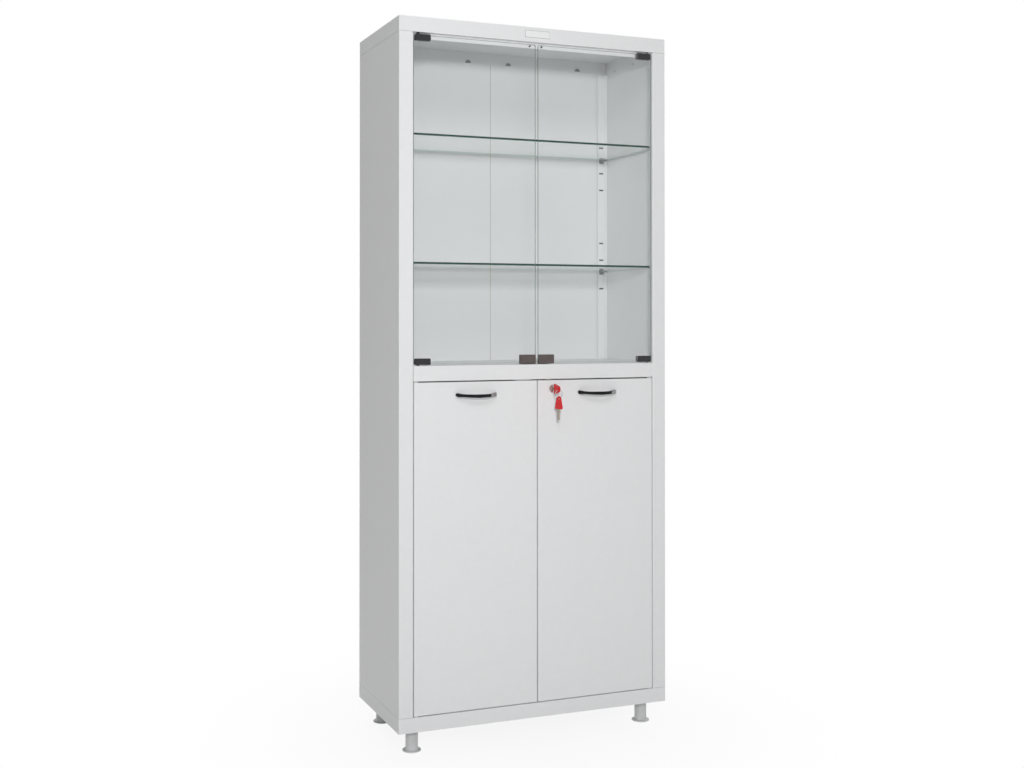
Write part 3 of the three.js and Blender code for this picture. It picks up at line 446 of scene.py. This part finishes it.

# %% [markdown]
# ## Small fittings
# Clamps, clips, catches, legs, lock and keys are cast, punched or moulded, and most take a rounder edge
# than sheet. Each could be dressed by a line of its own, but the CAD names a slot for every node. So one
# table from slot to finish and bevel dresses them all. Two kinds differ from the rest of their slot: the
# key blades are duller than the lock, and the shelf clips are darkened with painted shade, for the shade
# under the shelves.

# %% Soften the small metal and plastic pieces
finish_and_bevel = {
    "black_metal": (dark_plate, 0.0006),
    "dark_bronze": (dark_bronze, 0.0005),
    "chrome": (bright_chrome, 0.0002),
    "zinc": (brushed_zinc, 0.0003),
    "bright_zinc": (bright_zinc, 0.0003),
    "pale_plastic": (pale_plastic, 0.0006),
    "red_plastic": (red_plastic, 0.0009),
}
small = {}
for name in nodes:
    if slot_of[name] not in finish_and_bevel or name.startswith("handle"):
        continue
    material, bevel = finish_and_bevel[slot_of[name]]
    if name.endswith("key_blade"):
        material = brushed_zinc
    # Painted shade: the shelf clips take a darker steel for the shade under the shelves.
    if "_shelf_clip_" in name:
        material = shaded_clip_steel
    small[name] = soft_copy(name, bevel, [material])
print("small pieces:", len(small))

# %% [markdown]
# ## Bright ends of the hinge clamps
# Each clamp has a dark cover, and its end towards the middle of the cabinet is bright. A bright strip could
# be added there, but the end is a face of the solid already, so it only needs a second material.

# %% Leave the inner end of each clamp bright
FACING_END = 0.5
for label, side in SIDES:
    for end in ("top", "bottom"):
        clamp = small["glass_hinge_" + end + "_" + label]
        clamp.data.materials.append(bright_chrome)
        bright = repaint(clamp, 1, lambda polygon: polygon.normal.x * -side > FACING_END)
        print("bright faces on the", end, label, "clamp:", bright)

# %% [markdown]
# ## Handles with two finishes
# The bow is black outside and bright inside, and its right foot is left bright all round. Two pieces
# could be laid together, but the real bow is one strip. So a face counts as inside when its normal points
# back towards the middle of the arch, and then takes the chrome.

# %% Split each bow into its outside and inside
BOW_BEVEL = 0.0014
BOW_SEGMENTS = 3
FOOT_FROM = 0.68
TOWARDS_MIDDLE = -0.3
IN_PLAN = Vector((1, 1, 0))


def two_tone_bow(name):
    made = soft_copy(name, BOW_BEVEL, [black_coat, satin_chrome], BOW_SEGMENTS)
    low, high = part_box(name)
    middle = Vector(((low[X] + high[X]) / 2, high[Y], (low[Z] + high[Z]) / 2))
    foot_x = middle.x + FOOT_FROM * (high[X] - middle.x)

    def is_bright(polygon):
        spoke = ((polygon.center - middle) * IN_PLAN).normalized()
        return polygon.center.x > foot_x or polygon.normal.dot(spoke) < TOWARDS_MIDDLE

    return repaint(made, 1, is_bright)


for label, side in SIDES:
    print("bright faces on the", label, "bow:", two_tone_bow("handle_" + label))

# %% [markdown]
# ## Panes and shelves
# The copies of the glass sheets carry the clear material and two edges. A face belongs to the cut edge
# when its normal does not point through the thin direction of the sheet, and to the front edge when it
# looks forward as well. This follows the shape, so it needs no list of faces.

# %% Split each glass sheet into faces and edges
GLASS_BEVEL = 0.0004
THROUGH = 0.9
FORWARD = -0.4


def glass_sheet(name, clear, front_edge, other_edge, thin_axis):
    made = soft_copy(name, GLASS_BEVEL, [clear, front_edge, other_edge])

    def is_edge(polygon):
        return abs(polygon.normal[thin_axis]) < THROUGH

    def is_front_edge(polygon):
        return is_edge(polygon) and polygon.normal.y < FORWARD

    cut = repaint(made, 2, is_edge)
    repaint(made, 1, is_front_edge)
    print("edge faces on", name, cut)


for label, side in SIDES:
    glass_sheet("glass_pane_" + label, pane_glass, pane_edge, pane_edge, Y)
for level in ("upper", "lower"):
    # The shelves' other edges take the copy with painted light.
    glass_sheet(level + "_glass_shelf", shelf_glass, shelf_edge, lit_shelf_edge, Z)

# %% [markdown]
# ## The bare plate
# A small plate with nothing on it is fixed to the top rim, and a thin line of painted shade runs around
# its edge. The plate is too thin for the CAD frame. A bevelled block does for it, and a second and slightly
# larger grey block behind it paints that line of shade.

# %% Make a bevelled block
BLOCK_SEGMENTS = 2


def block_piece(name, low, high, bevel, material, body):
    middle = (Vector(low) + Vector(high)) / 2
    extent = Vector(high) - Vector(low)
    build = bmesh.new()
    bmesh.ops.create_cube(build, size=1.0)
    for vert in build.verts:
        vert.co = Vector(c * e for c, e in zip(vert.co, extent)) + middle
    curve = {"offset": bevel, "segments": BLOCK_SEGMENTS, "profile": ROUND, "affect": "EDGES"}
    bmesh.ops.bevel(build, geom=build.edges[:], **curve)
    return piece_from(build, name, [material], body)


# %% Fix the plate and its line of painted shade to the top rim
HAIR = 0.00002
FINE_BEVEL = 0.0001
PLATE_BEVEL = 0.0004
PLATE_WIDTH = 0.064
PLATE_HEIGHT = 0.016
PLATE_THICK = 0.0012
PLATE_DROP = 0.0165
SHADE_LINE_WIDTH = 0.0006
SHADE_LINE_THICK = 0.0004
plate_z = roof_z - PLATE_DROP


def plate_block(name, overhang, thick, bevel, material):
    half_x = PLATE_WIDTH / 2 + overhang
    half_z = PLATE_HEIGHT / 2 + overhang
    low = (-half_x, front_y - thick, plate_z - half_z)
    high = (half_x, front_y - HAIR, plate_z + half_z)
    return block_piece(name, low, high, bevel, material, "cabinet")


badge = plate_block("bare_plate", 0.0, PLATE_THICK, PLATE_BEVEL, plain_plate)
# Painted shade: the grey block shows around the plate as the shade along its edge.
badge_shade_line = plate_block("bare_plate_shade_line", SHADE_LINE_WIDTH, SHADE_LINE_THICK, FINE_BEVEL, grey_steel)
print("plate on the top rim:", badge.name, "and", badge_shade_line.name)

# %% [markdown]
# ## Buffers of the panes
# Two short rubber pegs stand on the door stop, and the glass leaves close on them. Each is a plain
# cylinder from the stop to just behind the pane. A cone tool with two equal radii makes it, and its
# points are then laid along the depth of the cabinet.

# %% Set the two buffers on the door stop
ROD_SEGMENTS = 32
ROD_BREAK = math.radians(40)
BUFFER_RADIUS = 0.0017
BUFFER_OUT = 0.0155
BUFFER_RISE = 0.0045
BUFFER_GAP = 0.0002


def short_rod(name, x_middle, z_middle, radius, y_from, y_to, material, body):
    build = bmesh.new()
    ends = {"radius1": radius, "radius2": radius, "depth": y_to - y_from}
    bmesh.ops.create_cone(build, cap_ends=True, segments=ROD_SEGMENTS, **ends)
    for vert in build.verts:
        x, y, z = vert.co
        vert.co = (x_middle + x, (y_from + y_to) / 2 + z, z_middle - y)
    made = piece_from(build, name, [material], body)
    made.data.shade_smooth()
    made.data.set_sharp_from_angle(angle=ROD_BREAK)
    return made


buffer_from = face_of("glass_pane_left", HIGH, Y) + BUFFER_GAP
buffer_to = face_of("top_door_stop", HIGH, Y) - SHEET
buffer_z = face_of("top_door_stop", LOW, Z) + BUFFER_RISE
for label, side in SIDES:
    place = (side * BUFFER_OUT, buffer_z, BUFFER_RADIUS, buffer_from, buffer_to)
    buffer = short_rod("pane_buffer_" + label, *place, dark_rubber, "cabinet")
    print("buffer:", buffer.name)

# %% [markdown]
# ## The joint of the back sheets
# The back is two sheets that lap, and the joint shows through the glass as a fine upright line, the shadow
# along the edge of the lap. A line could be drawn in the material, but it would have no thickness. A thin
# metal strip in the corner of the lap paints that shadow line.

# %% Lay a strip of painted shadow along the joint
JOINT_SHADOW_WIDTH = 0.0009
JOINT_SHADOW_SHORT = 0.002
joint_x = face_of("back_panel_left", HIGH, X)
lap_low, lap_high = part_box("back_panel_right")
joint_shadow_low = (joint_x + HAIR, face_of("back_panel_left", LOW, Y), lap_low[Z] + JOINT_SHADOW_SHORT)
joint_shadow_high = (joint_x + JOINT_SHADOW_WIDTH, lap_low[Y] - HAIR, lap_high[Z] - JOINT_SHADOW_SHORT)
# Painted shadow: the strip stands for the shade along the lapped edge.
joint_shadow_strip = block_piece("back_joint_painted_shadow", joint_shadow_low, joint_shadow_high, FINE_BEVEL, brushed_zinc, "cabinet")
print("joint line:", joint_shadow_strip.name)

# %% [markdown]
# ## Painted shade behind the slots
# A real slot in the corner strips is dark with the shade of the hollow behind it. A narrow dark plate
# behind each free slot paints that shade, so a slot reads as a dark line instead of showing the white back
# sheet. The plates are all alike, but their slots are unevenly spaced. So the places are a handful of
# points, and a Geometry Nodes group sets one plate on every point. The result is turned into a plain mesh
# before it is given to the frame.


# %% Build the node group that sets a plate on every point
def plate_group():
    group = bpy.data.node_groups.new("plates_on_points", "GeometryNodeTree")
    face = group.interface
    face.new_socket("Points", in_out="INPUT", socket_type="NodeSocketGeometry")
    face.new_socket("Plate Size", in_out="INPUT", socket_type="NodeSocketVector")
    face.new_socket("Finish", in_out="INPUT", socket_type="NodeSocketMaterial")
    face.new_socket("Geometry", in_out="OUTPUT", socket_type="NodeSocketGeometry")
    source = group.nodes.new("NodeGroupInput")
    plate = group.nodes.new("GeometryNodeMeshCube")
    place = group.nodes.new("GeometryNodeInstanceOnPoints")
    real = group.nodes.new("GeometryNodeRealizeInstances")
    paint = group.nodes.new("GeometryNodeSetMaterial")
    sink = group.nodes.new("NodeGroupOutput")
    link = group.links.new
    link(source.outputs["Plate Size"], plate.inputs["Size"])
    link(source.outputs["Points"], place.inputs["Points"])
    link(plate.outputs["Mesh"], place.inputs["Instance"])
    link(place.outputs["Instances"], real.inputs["Geometry"])
    link(real.outputs["Geometry"], paint.inputs["Geometry"])
    link(source.outputs["Finish"], paint.inputs["Material"])
    link(paint.outputs["Geometry"], sink.inputs["Geometry"])
    return group


# %% Turn the result of a node group into a plain mesh
def grow(name, group, values, body, points=()):
    holder = bpy.data.objects.new(name, bpy.data.meshes.new(name))
    holder.data.from_pydata(points, [], [])
    bpy.context.scene.collection.objects.link(holder)
    modifier = holder.modifiers.new("grow", "NODES")
    modifier.node_group = group
    for item in group.interface.items_tree:
        if item.name in values:
            modifier[item.identifier] = values[item.name]
    bpy.context.view_layer.update()
    grown = holder.evaluated_get(bpy.context.evaluated_depsgraph_get())
    holder.data = bpy.data.meshes.new_from_object(grown)
    holder.modifiers.clear()
    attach(holder, body)
    print(name, "has", len(holder.data.polygons), "faces")


# %% Set the plates of painted shade behind the free slots
SLOT_INSET = 0.0165
SLOT_BELOW_SHELF = 0.0012
SLOT_SHADE_SIZE = (0.016, 0.0006, 0.008)
SLOT_SHADE_GAP = 0.0002
free_slots_from_clip = {
    "upper_glass_shelf": (0.0368, -0.0335, -0.0792),
    "lower_glass_shelf": (0.0782, 0.0325, -0.0453),
    "steel_shelf": (0.0912, 0.0457, -0.0453, -0.0908),
}
slot_x = half_width - SLOT_INSET
slot_shade_y = face_of("rear_upright_left", HIGH, Y) + SLOT_SHADE_GAP + SLOT_SHADE_SIZE[Y] / 2
free_slots = []
for shelf, steps in free_slots_from_clip.items():
    clip_z = face_of(shelf, LOW, Z) - SLOT_BELOW_SHELF
    for step in steps:
        free_slots += [(side * slot_x, slot_shade_y, clip_z + step) for label, side in SIDES]
# Painted shade: dark plates for the shade in the hollow behind each slot.
slot_shade_inputs = {"Plate Size": SLOT_SHADE_SIZE, "Finish": slot_shade_steel}
grow("slot_shade_plates", plate_group(), slot_shade_inputs, "cabinet", free_slots)
print("backing plates:", len(free_slots))

# %% [markdown]
# ## Fasteners that repeat
# The same domed head appears on every bolt, rivet and screw of such a cabinet. Copies could be set one by
# one, but a Geometry Nodes group makes a whole row from a few named inputs: how many, where the row
# starts, the step to the next head, how the heads are turned, and a head's radius and height.

# %% Build the node group for a row of heads
DOME_SEGMENTS = 24
DOME_RINGS = 12


def row_group():
    group = bpy.data.node_groups.new("head_row", "GeometryNodeTree")
    face = group.interface
    face.new_socket("Count", in_out="INPUT", socket_type="NodeSocketInt")
    for vector in ("Start", "Step", "Turn"):
        face.new_socket(vector, in_out="INPUT", socket_type="NodeSocketVector")
    for length in ("Head Radius", "Head Height"):
        face.new_socket(length, in_out="INPUT", socket_type="NodeSocketFloat")
    face.new_socket("Finish", in_out="INPUT", socket_type="NodeSocketMaterial")
    face.new_socket("Geometry", in_out="OUTPUT", socket_type="NodeSocketGeometry")
    source = group.nodes.new("NodeGroupInput")
    line = add_node(group, "GeometryNodeMeshLine", mode="OFFSET")
    ball = {"Segments": DOME_SEGMENTS, "Rings": DOME_RINGS, "Radius": 1.0}
    dome = add_node(group, "GeometryNodeMeshUVSphere", ball)
    size = group.nodes.new("ShaderNodeCombineXYZ")
    place = group.nodes.new("GeometryNodeInstanceOnPoints")
    real = group.nodes.new("GeometryNodeRealizeInstances")
    smooth = group.nodes.new("GeometryNodeSetShadeSmooth")
    paint = group.nodes.new("GeometryNodeSetMaterial")
    sink = group.nodes.new("NodeGroupOutput")
    link = group.links.new
    link(source.outputs["Count"], line.inputs["Count"])
    link(source.outputs["Start"], line.inputs["Start Location"])
    link(source.outputs["Step"], line.inputs["Offset"])
    link(source.outputs["Head Radius"], size.inputs["X"])
    link(source.outputs["Head Radius"], size.inputs["Y"])
    link(source.outputs["Head Height"], size.inputs["Z"])
    link(line.outputs["Mesh"], place.inputs["Points"])
    link(dome.outputs["Mesh"], place.inputs["Instance"])
    link(source.outputs["Turn"], place.inputs["Rotation"])
    link(size.outputs["Vector"], place.inputs["Scale"])
    link(place.outputs["Instances"], real.inputs["Geometry"])
    link(real.outputs["Geometry"], smooth.inputs["Geometry"])
    link(smooth.outputs["Geometry"], paint.inputs["Geometry"])
    link(source.outputs["Finish"], paint.inputs["Material"])
    link(paint.outputs["Geometry"], sink.inputs["Geometry"])
    return group


heads = row_group()
print("inputs of a row:", len(heads.interface.items_tree) - 1)

# %% Make one row of heads
ALONG_X = (0, math.pi / 2, 0)
ALONG_Y = (math.pi / 2, 0, 0)
ALONG_Z = (0, 0, 0)


def head_row(name, count, start, step, turn, radius, height, material, body):
    values = {
        "Count": count,
        "Start": start,
        "Step": step,
        "Turn": turn,
        "Head Radius": radius,
        "Head Height": height,
        "Finish": material,
    }
    grow(name, heads, values, body)


# %% [markdown]
# ## Where the heads go
# Bolts hold the side walls to the top tray, and rivets hold the back sheets to the corner strips. Each
# row lies on the face that it fastens, half sunk in it, so that only the dome shows.

# %% Bolts inside the top tray
LAP_BOLT = {"radius": 0.0035, "height": 0.0022}
LAP_BOLTS = 3
LAP_BOLT_DROP = 0.0105
LAP_BOLT_INSET = 0.0022
LAP_BOLT_FIRST = 0.058
LAP_BOLT_STEP = (0, 0.102, 0)
bolt_x = half_width - LAP_BOLT_INSET
bolt_z = face_of("side_panel_left", HIGH, Z) - LAP_BOLT_DROP
for label, side in SIDES:
    head_row(
        "lap_bolts_" + label, LAP_BOLTS, (side * bolt_x, front_y + LAP_BOLT_FIRST, bolt_z),
        LAP_BOLT_STEP, ALONG_X, **LAP_BOLT, material=bright_zinc, body="cabinet",
    )

# %% Rivets on the back sheets
RIVET = {"radius": 0.0028, "height": 0.0009}
RIVETS = 9
RIVET_INSET = 0.018
RIVET_FIRST = 0.06
RIVET_STEP = (0, 0, 0.185)
for label, side in SIDES:
    panel_low, panel_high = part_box("back_panel_" + label)
    first = (side * (half_width - RIVET_INSET), panel_high[Y], panel_low[Z] + RIVET_FIRST)
    head_row(
        "back_rivets_" + label, RIVETS, first,
        RIVET_STEP, ALONG_Y, **RIVET, material=white_coat, body="cabinet",
    )

# %% [markdown]
# ## Screws of the fittings
# Screws fix the handles from inside the leaves, bolts fix the legs from inside the floor, and small
# screws hold the catches. Each row is measured from the box of the fitting that it holds, so the heads
# follow when a fitting moves.

# %% Screws of the handles
HANDLE_SCREW = {"radius": 0.004, "height": 0.0024}
HANDLE_SCREW_INSET = 0.006
leaf_inside_y = face_of("steel_door_right", LOW, Y) + SHEET
for label, side in SIDES:
    low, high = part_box("handle_" + label)
    first = (low[X] + HANDLE_SCREW_INSET, leaf_inside_y, (low[Z] + high[Z]) / 2)
    head_row(
        "handle_screws_" + label, 2, first, (high[X] - low[X] - 2 * HANDLE_SCREW_INSET, 0, 0),
        ALONG_Y, **HANDLE_SCREW, material=brushed_zinc, body="steel_leaf_" + label,
    )

# %% Bolts of the legs
LEG_BOLT = {"radius": 0.0065, "height": 0.003}
for label, side in SIDES:
    low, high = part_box("leg_front_" + label)
    to_rear = face_of("leg_rear_" + label, LOW, Y) - low[Y]
    floor_z = face_of("bottom_panel", HIGH, Z)
    head_row(
        "leg_bolts_" + label, 2, ((low[X] + high[X]) / 2, (low[Y] + high[Y]) / 2, floor_z),
        (0, to_rear, 0), ALONG_Z, **LEG_BOLT, material=brushed_zinc, body="cabinet",
    )

# %% Screws of the catches
STEEL_CATCH_SCREW = {"radius": 0.003, "height": 0.0014}
STEEL_CATCH_FIRST = 0.008
STEEL_CATCH_FROM_BACK = 0.0065
STEEL_CATCH_STEP = (0.025, 0, 0)
low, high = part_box("steel_door_catch")
first = (low[X] + STEEL_CATCH_FIRST, high[Y] - STEEL_CATCH_FROM_BACK, low[Z])
head_row(
    "catch_screws", 2, first, STEEL_CATCH_STEP,
    ALONG_Z, **STEEL_CATCH_SCREW, material=brushed_zinc, body="cabinet",
)
GLASS_CATCH_SCREW = {"radius": 0.0028, "height": 0.0012}
GLASS_CATCH_STEP = 0.026
GLASS_CATCH_BEHIND = 0.002
low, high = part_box("glass_door_catch")
first = (-GLASS_CATCH_STEP, (low[Y] + high[Y]) / 2 + GLASS_CATCH_BEHIND, high[Z])
head_row(
    "glass_catch_screws", 3, first, (GLASS_CATCH_STEP, 0, 0),
    ALONG_Z, **GLASS_CATCH_SCREW, material=brushed_zinc, body="cabinet",
)

# %% Grub screws that tighten the hinge clamps on the glass
CLAMP_SCREW = {"radius": 0.0026, "height": 0.0006}
CLAMP_SCREW_FIRST = 0.011
CLAMP_SCREW_STEP = (0.016, 0, 0)
JAW_INSET = 0.0065
for label, side in SIDES:
    for end in ("top", "bottom"):
        low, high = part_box("glass_hinge_" + end + "_" + label)
        jaw_z = low[Z] + JAW_INSET if end == "top" else high[Z] - JAW_INSET
        head_row(
            "clamp_screws_" + end + "_" + label, 2, (low[X] + CLAMP_SCREW_FIRST, high[Y], jaw_z),
            CLAMP_SCREW_STEP, ALONG_Y, **CLAMP_SCREW, material=bright_chrome, body="glass_leaf_" + label,
        )

# %% [markdown]
# ## The floor
# The cabinet stands on a plain pale floor. A plain plane would end in a horizon, and a curved backdrop
# would darken towards its bend. So the floor fades into the white of the room away from the feet, and
# keeps the soft shadow under them. It is plain white to every ray that looks at it from afar.


# %% Tell the rays that look from the rays that light
def looking_rays(tree):
    """One for rays that look: from the camera, off a mirror or through glass."""
    path = add_node(tree, "ShaderNodeLightPath")
    mirrored = add_node(tree, "ShaderNodeMath", operation="MAXIMUM")
    tree.links.new(path.outputs["Is Camera Ray"], mirrored.inputs[0])
    tree.links.new(path.outputs["Is Glossy Ray"], mirrored.inputs[1])
    looking = add_node(tree, "ShaderNodeMath", operation="MAXIMUM")
    tree.links.new(mirrored.outputs["Value"], looking.inputs[0])
    tree.links.new(path.outputs["Is Transmission Ray"], looking.inputs[1])
    return looking.outputs["Value"]


# %% Lay the floor
FLOOR_SPAN = 40.0
FLOOR_GREY = (0.93, 0.93, 0.93, 1.0)
FLOOR_ROUGH = 0.7
FADE = {"From Min": 0.1, "From Max": 0.9, "To Min": 0.88}


def floor_material():
    material = bpy.data.materials.new("pale_floor")
    material.use_nodes = True
    tree = material.node_tree
    link = tree.links.new
    shader = tree.nodes["Principled BSDF"]
    shader.inputs["Base Color"].default_value = FLOOR_GREY
    shader.inputs["Roughness"].default_value = FLOOR_ROUGH
    coords = add_node(tree, "ShaderNodeTexCoord")
    reach = add_node(tree, "ShaderNodeVectorMath", operation="LENGTH")
    link(coords.outputs["Object"], reach.inputs[0])
    fade = add_node(tree, "ShaderNodeMapRange", FADE, interpolation_type="SMOOTHSTEP")
    link(reach.outputs["Value"], fade.inputs["Value"])
    seen = add_node(tree, "ShaderNodeMath", operation="MULTIPLY")
    link(fade.outputs["Result"], seen.inputs[0])
    link(looking_rays(tree), seen.inputs[1])
    glow = add_node(tree, "ShaderNodeEmission", {"Color": WHITE, "Strength": 1.0})
    mix = add_node(tree, "ShaderNodeMixShader")
    link(seen.outputs["Value"], mix.inputs["Fac"])
    link(shader.outputs["BSDF"], mix.inputs[1])
    link(glow.outputs["Emission"], mix.inputs[2])
    link(mix.outputs["Shader"], tree.nodes["Material Output"].inputs["Surface"])
    return material


bpy.ops.mesh.primitive_plane_add(size=FLOOR_SPAN, location=(0, 0, 0))
floor = bpy.context.object
floor.name = "studio_floor"
floor.data.materials.append(floor_material())
print("floor laid:", floor.name)

# %% [markdown]
# ## Light
# A small lamp at the left front gives the leaves their slow falloff from left to right and draws the
# shadow under the top rim. A softer one above it throws the long pale shadows below the handles. Two weak
# lamps reach the right wall, the back and the roof. The lamps are hidden from mirrors, because a lamp
# would show in the panes as a white disc.

# %% Hang the lamps
BODY_MIDDLE = (0.0, 0.0, 0.95)


def lamp(name, place, target, size, power):
    light = bpy.data.lights.new(name, "AREA")
    light.shape = "DISK"
    light.size = size
    light.energy = power
    made = bpy.data.objects.new(name, light)
    made.location = place
    made.rotation_euler = (Vector(target) - Vector(place)).to_track_quat("-Z", "Y").to_euler()
    made.visible_glossy = False
    bpy.context.scene.collection.objects.link(made)
    print(name, "gives", power, "watts")


lamp("key_lamp", place=(-1.05, -3.0, 1.55), target=BODY_MIDDLE, size=0.3, power=35.5)
lamp("high_lamp", place=(-0.9, -2.5, 2.8), target=(0.0, 0.0, 0.8), size=0.9, power=15.5)
lamp("rear_lamp", place=(2.4, 2.2, 1.9), target=BODY_MIDDLE, size=1.2, power=26.0)
lamp("top_lamp", place=(0.0, 0.6, 4.0), target=(0.0, 0.0, 1.7), size=1.2, power=20.0)

# %% [markdown]
# ## The white room
# The room around the cabinet is plain white, and glass and chrome have to mirror that white. As a light
# it would be far too strong and would wash out every shadow. So the world is bright to the rays that look
# at it and weak to the rays that light the cabinet.

# %% Set the world
ROOM_AS_LIGHT = 0.2
ROOM_AS_SEEN = 1.0
world = bpy.data.worlds.new("white_room")
bpy.context.scene.world = world
world.use_nodes = True
sky = world.node_tree
room = sky.nodes["Background"]
room.inputs["Color"].default_value = WHITE
strength = between(sky, looking_rays(sky), ROOM_AS_LIGHT, ROOM_AS_SEEN)
sky.links.new(strength, room.inputs["Strength"])
print("world:", world.name)

# %% [markdown]
# ## Camera
# The camera was found by matching the body's corners: it stands at chest height, a little to the left,
# and looks almost level. Tilting it down to the feet would make the uprights lean. A lens shift frames
# the feet and keeps the uprights vertical.

# %% Place the camera
CAMERA_X = -1.2635
CAMERA_BEFORE_FRONT = 2.7801
CAMERA_HEIGHT = 1.0095
CAMERA_TILT = math.radians(90.457)
CAMERA_TURN = math.radians(-21.899)
eye = bpy.data.cameras.new("camera")
eye.sensor_width = 36.0
eye.lens = 44.64
eye.shift_x = 0.03
eye.shift_y = -0.0736
camera = bpy.data.objects.new("camera", eye)
camera.location = (CAMERA_X, front_y - CAMERA_BEFORE_FRONT, CAMERA_HEIGHT)
camera.rotation_euler = (CAMERA_TILT, 0.0, CAMERA_TURN)
bpy.context.scene.collection.objects.link(camera)
bpy.context.scene.camera = camera
bpy.context.scene.view_settings.view_transform = "Standard"
print("camera lens:", round(eye.lens, 2), "mm")
